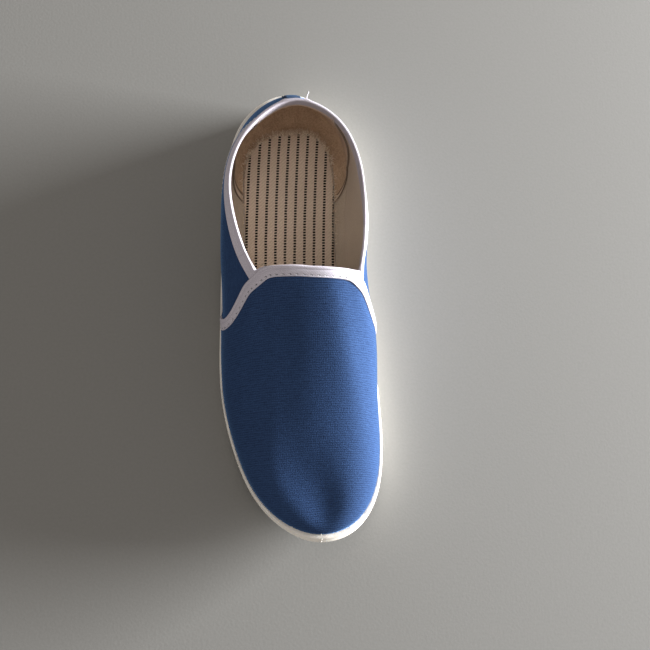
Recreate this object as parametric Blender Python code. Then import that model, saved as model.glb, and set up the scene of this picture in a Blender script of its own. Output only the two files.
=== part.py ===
"""Anti-static canvas work shoe: a right slip-on, canvas upper on a moulded foam sole.

The tables are in millimetres or in shares of the driving sizes, and the meshes are in metres.
A place on the shoe is (across, along, up): across is positive on the big toe's side, along runs
from the back of the heel to the toe, and up from the floor. The toe points to -Y.
"""
import bmesh
import bpy
import numpy as np

MM = 0.001

# Driving sizes of the shoe
LENGTH = 281.0            # sole, back of the heel to the toe
BALL_WIDTH = 100.0        # sole, across the ball
HEEL_HEIGHT = 70.0        # floor to the collar's edge at the back
INSTEP_HEIGHT = 72.5      # floor to the throat's edge over the instep
WALL = 1.6                # canvas and lining of the upper
VAMP_LAYER = 0.9          # the vamp's canvas, laid over the quarters
GAP = 0.3                 # clearance between pieces that touch

# Sections of the upper, in order from the heel's back along the outer side, round the toe and
# back along the inner side. Each starts on the foot line, where canvas meets sole, and ends on
# the edge of the opening.
#   foot_along, edge_along  shares of LENGTH
#   foot_out, edge_out      shares of half the BALL_WIDTH, positive on the big toe's side
#   foot_up                 height of the foot line
#   edge_up                 share of HEEL_HEIGHT on the quarters, of INSTEP_HEIGHT on the vamp
#   rise, flare             how far the wall aims up and outward as it leaves the foot line
#   sweep, dip              how far the wall comes in along the section, and below the edge
#   tuck                    width turned in under the foot
#   welt                    how far the sole stands out past the foot line
#   roll                    how far the wall stands out below an edge that rolls in over the foot
SECTION_COLUMNS = ("place", "panel", "foot_along", "foot_out", "foot_up", "edge_along", "edge_out",
                   "edge_up", "rise", "flare", "sweep", "dip", "tuck", "welt", "roll")
SECTIONS = (
    ("heel_back", "quarter", .010, .000, 28.0, .079, .004, 1.000, 13, 0.0, .00, 16, 22, 2.8, 0.0),
    ("heel_corner_outer", "quarter", .053, -.495, 28.0, .111, -.410, .980, 13, -1.0, .00, 16, 16, 3.2, 0.0),
    ("heel_outer", "quarter", .139, -.740, 27.5, .165, -.672, .930, 13, 1.5, .15, 15, 9, 2.6, 4.0),
    ("quarter_outer", "quarter", .256, -.835, 26.0, .256, -.812, .865, 13, 4.0, .10, 14, 10, 2.4, 5.5),
    ("waist_outer", "quarter", .384, -.885, 23.5, .370, -.705, .840, 14, 4.5, .40, 11, 12, 2.4, 8.5),
    ("corner_outer", "corner", .534, -.924, 20.5, .447, -.540, .885, 15, 3.5, .50, 14, 10, 2.6, 1.0),
    ("ball_outer", "vamp", .676, -.932, 18.5, .442, -.420, .945, 17, 2.0, .55, 17, 8, 2.5, 0.0),
    ("forepart_outer", "vamp", .800, -.796, 18.8, .443, -.260, .980, 19, 1.5, .59, 26, 7, 2.6, 0.0),
    ("toe_corner_outer", "vamp", .908, -.516, 20.5, .444, -.130, .996, 24, 1.5, .62, 36, 7, 3.2, 0.0),
    ("toe_side_outer", "vamp", .960, -.180, 22.0, .445, -.020, 1.000, 18, 1.5, .63, 36, 7, 4.6, 0.0),
    ("toe", "vamp", .978, .160, 22.5, .447, .070, 1.000, 15, 1.5, .63, 35, 7, 5.8, 0.0),
    ("toe_side_inner", "vamp", .959, .540, 22.0, .448, .160, 1.000, 14, 1.5, .63, 33, 7, 5.3, 0.0),
    ("toe_corner_inner", "vamp", .904, .780, 20.5, .449, .260, .996, 12, 1.5, .62, 29, 7, 4.6, 0.0),
    ("forepart_inner", "vamp", .811, .892, 18.8, .450, .380, .980, 11, 1.5, .58, 23, 7, 4.3, 0.0),
    ("ball_inner", "vamp", .701, .886, 18.5, .451, .520, .945, 16, 3.0, .54, 17, 7, 4.6, 0.0),
    ("corner_inner", "corner", .569, .830, 21.0, .454, .690, .885, 15, 9.0, .40, 14, 8, 3.4, 0.0),
    ("waist_inner", "quarter", .409, .676, 24.5, .384, .775, .840, 14, 11.0, -.70, 15, 8, 2.6, 0.0),
    ("quarter_inner", "quarter", .256, .696, 26.5, .256, .800, .865, 13, 5.0, -.05, 16, 9, 2.6, 0.0),
    ("heel_inner", "quarter", .139, .720, 27.5, .167, .684, .930, 13, 1.5, .15, 16, 12, 2.6, 0.0),
    ("heel_corner_inner", "quarter", .053, .480, 28.0, .109, .434, .980, 13, 0.0, .15, 16, 15, 2.7, 0.0),
)

# The vamp's side edges on the wall. Each rounds off at the throat corner, runs down the corner
# section and hooks back towards the heel above the sole. Runs are measured along the foot line.
#   corner_run  how far along the throat the corner's round starts
#   belly       how far the edge bends towards the toe at the middle of its height
#   hook_run    how far back it ends at the foot line
VAMP_EDGE_COLUMNS = ("side", "corner_run", "belly", "hook_run")
VAMP_EDGES = (
    ("outer", 30.0, 6.0, 11.0),
    ("inner", 16.0, 0.5, 11.0),
)
CORNER_FROM = 0.84        # share of the wall's height where the round ends
HOOK_FROM = 0.34          # share of the wall's height where the hook starts
HOOK_CURVE = 1.5
BELLY_SPAN = (0.28, 0.86)
EDGE_SPREAD = 75.0        # run of wall beside an edge whose columns lean with it
EDGE_STEP = 0.08          # half the run over which the wall steps out to the vamp

# Tape folded over the edges
TAPE = 0.8
COLLAR_TAPE_WIDTH = 5.5
VAMP_TAPE_WIDTH = 5.8
TAPE_END_RUN = 3.0           # run from the corner of the opening to the collar tape's end
HEEL_STRIP_WIDTH = 11.5
HEEL_STRIP = 0.8

# Heights along the sole: (share of LENGTH, height)
FLOOR = ((0.00, 22.5), (0.21, 21.5), (0.43, 15.5), (0.64, 10.5), (0.82, 10.5), (1.00, 15.0))
INSOLE = 2.2
HEEL_FLAT = (0.06, 0.29)      # shares of LENGTH that lie flat on the floor
BALL_FLAT = (0.53, 0.73)
HEEL_LIFT = 1.6               # rise of the tread at the very back
ARCH_LIFT = 3.0
ARCH_TOP = 0.41               # share of LENGTH where the arch is highest
TOE_SPRING = 13.5
TOE_CURVE = 1.8

# Side of the sole: a lip, a groove that fades out behind the ball, and a bumper
LIP_BAND = 0.40               # share of the wall above the groove
GROOVE_DEPTH = 0.9
GROOVE_HEIGHT = 0.9
GROOVE_FADE = (0.40, 0.55)    # shares of LENGTH
BUMPER_SLOPE = 1.3
TREAD_ROUND = (1.8, 2.6)      # how far the tread's edge comes in, and how high it starts

TREAD_DEPTH = 2.2
TREAD_GROOVE = 3.0

COLUMN_PITCH = 9.5            # spacing of the sections along the foot line
WALL_ROWS = (0.0, 0.06, 0.12, 0.18, 0.25, 0.34, 0.44, 0.56, 0.68, 0.78, 0.86, 0.91, 0.96, 1.0)
TUCK_ROWS = (-1.0, -0.66, -0.33)
RING_SHARES = (0.40, 0.75)    # rings of the tread and of the insole, from rim to middle line

# Smaller sizes
LIP_SHARE = 0.5               # share of the welt that the lip takes
LIP_LEAST = 1.0
LIP_ROUND = 0.5
LIP_LEAN = 0.2
INSOLE_EASE = 1.3             # the insole's clearance to the turned-in edge, in gaps
MIDDLE_SPAN = (45.0, 235.0)   # stations that the middle line runs between
MIDDLE_SLOPE = 0.035
TAPE_FOLD = 0.1
CLIMB_STEP = 0.03             # share of the wall's height that its climb to the edge is read over
RUN_STEP = 0.5                # run and share of height over which the wall's directions are read
HEIGHT_STEP = 0.01
COLUMN_LEAST = 3.0
TAPE_LEAST_STEP = 2.0
JOINT_RUN = 0.4
INNER_JOINT = 0.35
VAMP_TAPE_END = 0.12
VAMP_THROAT_STEPS = 19
LEG_RUN = 12.0
INSET_STEPS = 2
STRIP_STEP = 2.0              # depth over which the heel strip comes down off the tape
STRIP_POINTS = 5
HEEL_STRIP_ROWS = (0.4, 1.6, 3.2, 5.8, 7.6, 12.0, 18.0, 25.0, 33.0, 41.0)

# Grooves of the tread in groups: how many, where the first one's middle is, the step to the
# next, its length, and its turn in degrees from straight across
TREAD_COLUMNS = ("place", "count", "along", "across", "pitch", "drift", "length", "turn")
TREAD_GROUPS = (
    ("inner edge", 8, 156.0, 36.0, 10.5, 0.6, 24.0, -6.0),
    ("outer edge", 6, 152.0, -33.0, 15.5, 1.6, 40.0, 26.0),
    ("inner rail", 1, 192.0, 20.0, 0.0, 0.0, 84.0, 90.0),
    ("outer rail", 1, 186.0, -9.0, 0.0, 0.0, 84.0, 90.0),
    ("middle", 4, 160.0, 5.5, 18.0, 0.0, 20.0, 0.0),
    ("toe", 2, 247.0, 5.0, 11.0, 0.0, 44.0, 0.0),
    ("heel", 1, 62.0, 0.0, 0.0, 0.0, 62.0, 10.0),
    ("heel blocks outer", 2, 74.0, -28.0, 10.0, -0.6, 24.0, 0.0),
    ("heel blocks inner", 2, 78.0, 20.0, 10.0, 0.0, 24.0, 0.0),
)

# Colour and roughness of each piece
CANVAS_BLUE = (0.052, 0.130, 0.345)
TAPE_WHITE = (0.80, 0.80, 0.84)
FINISHES = {
    "sole": ((0.80, 0.78, 0.72), 0.45),
    "upper": (CANVAS_BLUE, 0.85),
    "insole": ((0.42, 0.34, 0.26), 0.9),
    "vamp_binding": (TAPE_WHITE, 0.7),
    "collar_binding_heel": (TAPE_WHITE, 0.7),
    "collar_binding_outer": (TAPE_WHITE, 0.7),
    "collar_binding_inner": (TAPE_WHITE, 0.7),
    "heel_strip": (CANVAS_BLUE, 0.85),
    "tread_cutter": ((0.5, 0.5, 0.5), 0.5),
}


def table_column(name):
    place = SECTION_COLUMNS.index(name)
    return np.array([row[place] for row in SECTIONS])


def cubic_through(knots, values, closed):
    """Smooth curve through values at the knots, as a function of the run along it."""
    knots = np.asarray(knots, float)
    values = np.asarray(values, float)
    count = len(knots)
    step = np.diff(knots)
    slope = np.diff(values, axis=0) / step[:, None]
    matrix = np.zeros((count, count))
    right = np.zeros_like(values)
    for i in range(1, count - 1):
        matrix[i, i - 1:i + 2] = step[i - 1], 2 * (step[i - 1] + step[i]), step[i]
        right[i] = 6 * (slope[i] - slope[i - 1])
    matrix[0, 0] = 1
    matrix[-1, -1] = 1
    if closed:
        matrix[0, -1] = -1
        matrix[-1, [0, 1, -2, -1]] = 2 * step[0], step[0], step[-1], 2 * step[-1]
        right[-1] = 6 * (slope[0] - slope[-1])
    bend = np.linalg.solve(matrix, right)

    def curve(run):
        run = np.asarray(run, float)
        if closed:
            run = knots[0] + (run - knots[0]) % (knots[-1] - knots[0])
        i = np.clip(np.searchsorted(knots, run, side="right") - 1, 0, count - 2)
        width = step[i][..., None]
        b = (run - knots[i])[..., None] / width
        a = 1 - b
        lift = ((a ** 3 - a) * bend[i] + (b ** 3 - b) * bend[i + 1]) * width ** 2 / 6
        return a * values[i] + b * values[i + 1] + lift

    return curve


def smooth(value, start, end):
    """0 before start, 1 after end, eased between."""
    t = np.clip((np.asarray(value, float) - start) / (end - start), 0, 1)
    return t * t * (3 - 2 * t)


def unit(vectors):
    return vectors / np.maximum(np.linalg.norm(vectors, axis=-1, keepdims=True), 1e-12)


# Curves of the upper along its foot line
FOOT_ROWS = np.stack([table_column("foot_out") * BALL_WIDTH / 2, table_column("foot_along") * LENGTH,
                      table_column("foot_up")], -1)
EDGE_TOP = np.where(table_column("panel") == "quarter", HEEL_HEIGHT, INSTEP_HEIGHT)
EDGE_ROWS = np.stack([table_column("edge_out") * BALL_WIDTH / 2, table_column("edge_along") * LENGTH,
                      table_column("edge_up") * EDGE_TOP], -1)
FIRST_SHAPE = SECTION_COLUMNS.index("rise")
SHAPE_ROWS = np.stack([table_column(name) for name in SECTION_COLUMNS[FIRST_SHAPE:]], -1)
RUNS = np.concatenate([[0.0], np.cumsum(np.linalg.norm(
    np.diff(np.vstack([FOOT_ROWS, FOOT_ROWS[:1]])[:, :2], axis=0), axis=1))])
GIRTH = RUNS[-1]
PLACES = [row[0] for row in SECTIONS]
OUTER, INNER = 0, 1
CORNER_OUTER = PLACES.index("corner_outer")
CORNER_INNER = PLACES.index("corner_inner")
RUN_OUTER = RUNS[CORNER_OUTER]
RUN_INNER = RUNS[CORNER_INNER]

foot_curve = cubic_through(RUNS, np.vstack([FOOT_ROWS, FOOT_ROWS[:1]]), True)
shape_curve = cubic_through(RUNS, np.vstack([SHAPE_ROWS, SHAPE_ROWS[:1]]), True)
throat_curve = cubic_through(RUNS[CORNER_OUTER:CORNER_INNER + 1],
                             EDGE_ROWS[CORNER_OUTER:CORNER_INNER + 1], False)
collar_curve = cubic_through(np.concatenate([RUNS[CORNER_INNER:-1], GIRTH + RUNS[:CORNER_OUTER + 1]]),
                             np.vstack([EDGE_ROWS[CORNER_INNER:], EDGE_ROWS[:CORNER_OUTER + 1]]), False)
floor_curve = cubic_through([row[0] * LENGTH for row in FLOOR], [[row[1]] for row in FLOOR], False)


def edge_at(run):
    """Edge of the opening: the throat between the corners, the collar around the heel."""
    run = np.asarray(run, float) % GIRTH
    in_throat = (run >= RUN_OUTER) & (run <= RUN_INNER)
    around = np.where(run < RUN_INNER, run + GIRTH, run)
    throat = throat_curve(np.clip(run, RUN_OUTER, RUN_INNER))
    collar = collar_curve(np.clip(around, RUN_INNER, GIRTH + RUN_OUTER))
    return np.where(in_throat[..., None], throat, collar)


def outward(run):
    """Level direction away from the foot line."""
    ahead = foot_curve(np.asarray(run, float) + RUN_STEP) - foot_curve(np.asarray(run, float) - RUN_STEP)
    return unit(np.stack([-ahead[..., 1], ahead[..., 0], np.zeros(ahead.shape[:-1])], -1))


def heading_middle(point):
    """Point of the middle line that a point of the foot heads for."""
    along = np.clip(point[..., 1], *MIDDLE_SPAN)
    return np.stack([(along - MIDDLE_SPAN[0]) * MIDDLE_SLOPE, along], -1)


def toward_middle(point):
    """Level direction from a point of the foot to the middle line."""
    way = unit(heading_middle(point) - point[..., :2])
    return np.concatenate([way, np.zeros_like(way[..., :1])], -1)


def insole_up(along):
    """Height of the seat that the sole gives the foot."""
    return floor_curve(np.clip(along, 0, LENGTH))[..., 0]


def tread_up(along):
    """Height of the tread: flat under heel and ball, lifted at the back, arch and toe."""
    share = np.asarray(along, float) / LENGTH
    back = HEEL_LIFT * np.clip((HEEL_FLAT[0] - share) / HEEL_FLAT[0], 0, 1) ** 2
    arch = ARCH_LIFT * smooth(share, HEEL_FLAT[1], ARCH_TOP) * (1 - smooth(share, ARCH_TOP, BALL_FLAT[0]))
    toe = TOE_SPRING * np.clip((share - BALL_FLAT[1]) / (1 - BALL_FLAT[1]), 0, 1) ** TOE_CURVE
    return back + arch + toe


def wall(run, height):
    """Outer face of the quarters: height 0 on the foot line, 1 on the edge, -1 turned in below."""
    run, height = np.broadcast_arrays(np.asarray(run, float), np.asarray(height, float))
    foot = foot_curve(run)
    edge = edge_at(run)
    shape = shape_curve(run)
    rise, flare, sweep, dip, tuck, _, roll = (shape[..., i:i + 1] for i in range(7))
    out = outward(run)
    inward = toward_middle(foot)
    level = np.array([1.0, 1.0, 0.0])
    upright = np.array([0.0, 0.0, 1.0])
    low_handle = foot + out * flare + upright * rise
    high_handle = edge + (foot - edge) * level * sweep + outward(run) * roll - upright * dip
    t = np.clip(height, 0, 1)[..., None]
    risen = ((1 - t) ** 3 * foot + 3 * (1 - t) ** 2 * t * low_handle
             + 3 * (1 - t) * t ** 2 * high_handle + t ** 3 * edge)
    turn = np.clip(-height, 0, 1)[..., None] * np.pi / 2
    seat = insole_up((foot + inward * tuck)[..., 1])[..., None]
    turned = foot + inward * tuck * (1 - np.cos(turn)) - upright * (foot[..., 2:] - seat) * np.sin(turn)
    return np.where(height[..., None] >= 0, risen, turned)


def wall_normal(run, height):
    """Direction out of the wall."""
    height = np.asarray(height, float)
    high = np.clip(height + HEIGHT_STEP, -1, 1)
    low = np.clip(height - HEIGHT_STEP, -1, 1)
    along = wall(np.asarray(run, float) + RUN_STEP, height) - wall(np.asarray(run, float) - RUN_STEP, height)
    return unit(np.cross(wall(run, high) - wall(run, low), along))


def edge_lean(side, height):
    """How far one of the vamp's side edges lies towards the toe from its corner section."""
    row = dict(zip(VAMP_EDGE_COLUMNS, VAMP_EDGES[side]))
    height = np.asarray(height, float)
    rounded = row["corner_run"] * np.clip((height - CORNER_FROM) / (1 - CORNER_FROM), 0, 1) ** 2
    bowed = row["belly"] * np.sin(np.pi * np.clip((height - BELLY_SPAN[0]) / np.ptp(BELLY_SPAN), 0, 1))
    hooked = row["hook_run"] * np.clip((HOOK_FROM - np.maximum(height, 0)) / HOOK_FROM, 0, 1) ** HOOK_CURVE
    return rounded + bowed - hooked


def leaned(run, height):
    """Run of a column at a height, with the columns beside the vamp's edges leaning along them."""
    near_outer = 1 - smooth(np.abs(run - RUN_OUTER), 0, EDGE_SPREAD)
    near_inner = 1 - smooth(np.abs(run - RUN_INNER), 0, EDGE_SPREAD)
    return run + edge_lean(OUTER, height) * near_outer - edge_lean(INNER, height) * near_inner


def column_reaching(corner):
    """Run of the column that meets a corner of the opening."""
    run = corner
    for _ in range(40):
        run = run + corner - float(leaned(run, 1.0))
    return run


# Runs where the lengths of collar tape meet each other and where they end at the corners
WAIST_INNER = PLACES.index("waist_inner")
TAPE_JOINT_OUTER = RUNS[PLACES.index("waist_outer")]
TAPE_JOINT_INNER = RUNS[WAIST_INNER] + INNER_JOINT * (RUNS[WAIST_INNER + 1] - RUNS[WAIST_INNER])
TAPE_END_OUTER = column_reaching(RUN_OUTER) - TAPE_END_RUN
TAPE_END_INNER = column_reaching(RUN_INNER) + TAPE_END_RUN


def column_runs():
    """Runs of the columns, with a close pair at each of the vamp's side edges."""
    spaced = []
    for start, end in zip(RUNS[:-1], RUNS[1:]):
        count = max(1, round((end - start) / COLUMN_PITCH))
        spaced.extend(np.linspace(start, end, count, endpoint=False))
    fixed = [TAPE_END_OUTER, TAPE_END_INNER, TAPE_JOINT_INNER]
    for corner in (RUN_OUTER, RUN_INNER):
        fixed.extend((corner - EDGE_STEP, corner + EDGE_STEP, column_reaching(corner)))
    clear = [run for run in spaced if min(abs(run - other) for other in fixed) > COLUMN_LEAST]
    return np.array(sorted(clear + fixed))


COLUMNS = column_runs()
ON_VAMP = (COLUMNS > RUN_OUTER) & (COLUMNS < RUN_INNER)


def skin(heights, offset):
    """Grid of the upper's columns at some heights, lifted off the quarters' outer face."""
    run = leaned(COLUMNS[:, None], np.asarray(heights)[None, :])
    height = np.broadcast_to(np.asarray(heights)[None, :], run.shape)
    return wall(run, height) + wall_normal(run, height) * np.broadcast_to(offset, run.shape)[..., None]


def outer_skin(heights, clearance):
    """Outer face of the upper, with the vamp stepped out, plus a clearance."""
    return skin(heights, (np.where(ON_VAMP, VAMP_LAYER, 0.0) + clearance)[:, None])


def rings(rim, height_at):
    """Rings that close in on the middle line from a rim, each point at the height of its station."""
    found = []
    for share in RING_SHARES:
        level = rim[:, :2] + (heading_middle(rim) - rim[:, :2]) * share
        found.append(np.column_stack([level, height_at(level[:, 1])]))
    return found


def foot_runs():
    """Runs of the columns at the foot line."""
    return leaned(COLUMNS, 0.0)


def sole_loops():
    """Seat, lip, side wall and tread of the sole, as loops from the seat's middle to the tread's."""
    run = foot_runs()
    foot = foot_curve(run)
    out = outward(run)
    welt = shape_curve(run)[:, 5:6]
    bottom = tread_up((foot + out * welt)[:, 1])
    wall_height = foot[:, 2] - bottom
    lip = welt * LIP_SHARE + LIP_LEAST
    groove = GROOVE_DEPTH * smooth(foot[:, 1] / LENGTH, *GROOVE_FADE)[:, None]

    def loop(overhang, up):
        level = foot[:, :2] + out[:, :2] * overhang
        return np.column_stack([level, np.broadcast_to(up, len(level))])

    seat = outer_skin(TUCK_ROWS, GAP)
    lip_inside = outer_skin((0.0,), GAP)[:, 0]
    band = LIP_BAND * wall_height
    side = [
        loop(lip - LIP_ROUND, foot[:, 2]),
        loop(lip, foot[:, 2] - LIP_ROUND),
        loop(lip + LIP_LEAN, foot[:, 2] - band),
        loop((lip + welt) / 2 - groove, foot[:, 2] - band - GROOVE_HEIGHT),
        loop(welt, foot[:, 2] - band - GROOVE_HEIGHT - BUMPER_SLOPE),
        loop(welt, bottom + TREAD_ROUND[1]),
    ]
    rim = loop(welt - TREAD_ROUND[0], bottom)
    rim[:, 2] = tread_up(rim[:, 1])
    seat_rings = rings(seat[:, 0], lambda along: insole_up(along) - GAP)
    return seat_rings[::-1] + [seat[:, i] for i in range(len(TUCK_ROWS))] + [lip_inside] + side + [
        rim] + rings(rim, tread_up)


SOLE_LOOPS = sole_loops()
ALL_SOLE = np.vstack(SOLE_LOOPS)
MIDDLE = (ALL_SOLE.min(axis=0) + ALL_SOLE.max(axis=0)) / 2


def placed(point):
    """A place on the shoe in the part's frame: middle of the sole at the origin, toe to -Y."""
    return ((point[0] - MIDDLE[0]) * MM, (MIDDLE[1] - point[1]) * MM, point[2] * MM)


def finish(name, shape):
    """Named object with its own material."""
    colour, roughness = FINISHES[name]
    material = bpy.data.materials.new(name)
    material.use_nodes = True
    shader = material.node_tree.nodes["Principled BSDF"]
    shader.inputs["Base Color"].default_value = (*colour, 1.0)
    shader.inputs["Roughness"].default_value = roughness
    shader.inputs["Metallic"].default_value = 0.0
    bmesh.ops.triangulate(shape, faces=shape.faces)
    mesh = bpy.data.meshes.new(name)
    shape.to_mesh(mesh)
    shape.free()
    mesh.shade_smooth()
    mesh.materials.append(material)
    made = bpy.data.objects.new(name, mesh)
    bpy.context.scene.collection.objects.link(made)
    return made


def lofted(name, loops, closed=False):
    """Solid skinned over loops, closed in a ring or capped at both ends."""
    shape = bmesh.new()
    rows = [[shape.verts.new(placed(point)) for point in loop] for loop in loops]
    pairs = list(zip(rows, rows[1:]))
    if closed:
        pairs.append((rows[-1], rows[0]))
    for low, high in pairs:
        for i in range(len(low)):
            j = (i + 1) % len(low)
            shape.faces.new((low[i], low[j], high[j], high[i]))
    if not closed:
        for rim in (rows[0], rows[-1]):
            edges = [shape.edges.get((a, b)) for a, b in zip(rim, rim[1:] + rim[:1])]
            bmesh.ops.triangle_fill(shape, use_beauty=True, edges=edges)
    bmesh.ops.recalc_face_normals(shape, faces=shape.faces)
    return finish(name, shape)


def tread_cutter():
    """Bars that cut the grooves of the tread, left as a hidden wire."""
    shape = bmesh.new()
    for group in TREAD_GROUPS:
        row = dict(zip(TREAD_COLUMNS, group))
        for i in range(row["count"]):
            along = row["along"] + i * row["pitch"]
            centre = np.array([row["across"] + i * row["drift"], along])
            turn = np.radians(row["turn"])
            reach = np.array([np.cos(turn), np.sin(turn)]) * row["length"] / 2
            side = np.array([-np.sin(turn), np.cos(turn)]) * TREAD_GROOVE / 2
            plan = [centre - reach - side, centre + reach - side, centre + reach + side, centre - reach + side]
            levels = (-TREAD_DEPTH, tread_up(along) + TREAD_DEPTH)
            rows = [[shape.verts.new(placed((*point, up))) for point in plan] for up in levels]
            shape.faces.new(rows[0])
            shape.faces.new(rows[1])
            for a in range(4):
                b = (a + 1) % 4
                shape.faces.new((rows[0][a], rows[0][b], rows[1][b], rows[1][a]))
    bmesh.ops.recalc_face_normals(shape, faces=shape.faces)
    cutter = finish("tread_cutter", shape)
    cutter.hide_render = True
    cutter.display_type = "WIRE"
    return cutter


def make_sole():
    sole = lofted("sole", SOLE_LOOPS)
    cut = sole.modifiers.new("tread", "BOOLEAN")
    cut.operation = "DIFFERENCE"
    cut.solver = "EXACT"
    cut.use_self = True
    cut.object = tread_cutter()


def make_upper():
    heights = TUCK_ROWS + WALL_ROWS
    outside = outer_skin(heights, 0.0)
    inside = skin(heights, -WALL)
    loops = [outside[:, i] for i in range(len(heights))] + [inside[:, i] for i in range(len(heights))][::-1]
    lofted("upper", loops, closed=True)


def make_insole():
    edge = wall(leaned(COLUMNS, -1.0), -1.0)
    seam = edge + toward_middle(edge) * GAP * INSOLE_EASE
    low = np.column_stack([seam[:, :2], insole_up(seam[:, 1])])
    high = low + (0, 0, INSOLE)
    loops = rings(low, insole_up)[::-1] + [low, high] + rings(high, lambda along: insole_up(along) + INSOLE)
    lofted("insole", loops)


def off_edge(run, depth, lift):
    """Place on a column a depth below the opening's edge, or above it where negative, off the wall."""
    run = run % GIRTH
    climb = wall(leaned(run, 1.0), 1.0) - wall(leaned(run, 1 - CLIMB_STEP), 1 - CLIMB_STEP)
    height = 1 - max(depth, 0.0) * CLIMB_STEP / np.linalg.norm(climb)
    at = leaned(run, height)
    return wall(at, height) + wall_normal(at, height) * lift + unit(climb) * max(-depth, 0.0)


def collar_section(run):
    """Tape folded over the collar's edge: outer face, fold and inner face."""
    width = COLLAR_TAPE_WIDTH
    face = GAP + TAPE
    inside = -WALL - GAP
    corners = (
        (width, GAP), (width, face), (width / 2, face), (0.0, face),
        (-face, GAP - TAPE_FOLD), (-face, inside + TAPE_FOLD),
        (0.0, inside - TAPE), (width / 2, inside - TAPE), (width, inside - TAPE),
        (width, inside), (width / 2, inside), (-GAP, inside), (-GAP, GAP), (width / 2, GAP),
    )
    return [off_edge(run, depth, lift) for depth, lift in corners]


def runs_between(start, end):
    """Columns of the wall between two runs, with the two ends."""
    turned = np.concatenate([COLUMNS, COLUMNS + GIRTH])
    inside = [run for run in turned if start + TAPE_LEAST_STEP < run < end - TAPE_LEAST_STEP]
    return [start] + inside + [end]


def make_collar_bindings():
    tapes = (("collar_binding_heel", TAPE_JOINT_INNER, TAPE_JOINT_OUTER + GIRTH),
             ("collar_binding_outer", TAPE_JOINT_OUTER + JOINT_RUN, TAPE_END_OUTER),
             ("collar_binding_inner", TAPE_END_INNER, TAPE_JOINT_INNER - JOINT_RUN))
    for name, start, end in tapes:
        lofted(name, [collar_section(run) for run in runs_between(start, end)])


def vamp_edge_path():
    """The vamp's free edge: up the outer side, across the throat and down the inner side."""
    sides = np.array([height for height in WALL_ROWS if height >= VAMP_TAPE_END])
    outer = RUN_OUTER + EDGE_STEP + edge_lean(OUTER, sides)
    inner = RUN_INNER - EDGE_STEP - edge_lean(INNER, sides)
    throat = np.linspace(outer[-1], inner[-1], VAMP_THROAT_STEPS)[1:-1]
    run = np.concatenate([outer, throat, inner[::-1]])
    height = np.concatenate([sides, np.ones(len(throat)), sides[::-1]])
    return run, height


def inset_from(run, height, inward, depth):
    """Place on the wall a depth inside the vamp from a point of its edge."""
    for _ in range(INSET_STEPS):
        along = (wall(run + RUN_STEP, height) - wall(run - RUN_STEP, height)) / (2 * RUN_STEP)
        upward = (wall(run, height) - wall(run, height - HEIGHT_STEP)) / HEIGHT_STEP
        ways = np.column_stack([along, upward])
        step = np.linalg.lstsq(ways, inward * depth / INSET_STEPS, rcond=None)[0]
        run = run + step[0]
        height = min(height + step[1], 1.0)
    return run, height


def vamp_section(run, height, ahead, leg):
    """Tape over the vamp's edge: a face on the vamp and a leg over the cut edge."""
    here = wall(run, height)
    normal = wall_normal(run, height)
    inward = unit(np.cross(normal, ahead))
    face = VAMP_LAYER + GAP
    points = []
    for depth, lift in ((VAMP_TAPE_WIDTH, face), (VAMP_TAPE_WIDTH, face + TAPE),
                        (VAMP_TAPE_WIDTH / 2, face + TAPE)):
        far_run, far_height = inset_from(run, height, inward, depth)
        points.append(wall(far_run, far_height) + wall_normal(far_run, far_height) * lift)
    for depth, lift in ((0.0, face + TAPE), (-GAP - TAPE, face + TAPE / 2), (-GAP - TAPE, leg), (-GAP, leg),
                        (-GAP, face)):
        points.append(here + inward * depth + normal * lift)
    far_run, far_height = inset_from(run, height, inward, VAMP_TAPE_WIDTH / 2)
    points.append(wall(far_run, far_height) + wall_normal(far_run, far_height) * face)
    return points


def make_vamp_binding():
    run, height = vamp_edge_path()
    line = wall(run, height)
    ahead = unit(np.gradient(line, axis=0))
    on_throat = height >= 1.0
    from_corner = np.minimum(np.abs(run - run[on_throat][0]), np.abs(run - run[on_throat][-1]))
    drop = np.where(on_throat, smooth(from_corner, 0.0, LEG_RUN), 0.0)
    leg = GAP - drop * (GAP + WALL)
    lofted("vamp_binding", [vamp_section(*place) for place in zip(run, height, ahead, leg)])


def make_heel_strip():
    half = HEEL_STRIP_WIDTH / 2
    across = np.linspace(-half, half, STRIP_POINTS)
    sections = []
    for depth in HEEL_STRIP_ROWS:
        over_tape = 1 - smooth(depth, COLLAR_TAPE_WIDTH + GAP, COLLAR_TAPE_WIDTH + STRIP_STEP)
        low = GAP + over_tape * (TAPE + GAP)
        under = [off_edge(run, depth, low) for run in across]
        over = [off_edge(run, depth, low + HEEL_STRIP) for run in across]
        sections.append(under + over[::-1])
    lofted("heel_strip", sections)


def main():
    for old in list(bpy.data.objects):
        bpy.data.objects.remove(old, do_unlink=True)
    make_sole()
    make_upper()
    make_insole()
    make_vamp_binding()
    make_collar_bindings()
    make_heel_strip()


main()
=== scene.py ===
"""Looks of a right anti-static canvas work shoe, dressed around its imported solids.

A place on the shoe is (across, along, up) in millimetres: across is positive on the big toe's side,
along runs from the back of the heel to the toe, and up from the floor.
"""

import bmesh
import bpy
import numpy as np
from mathutils import Matrix


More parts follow.
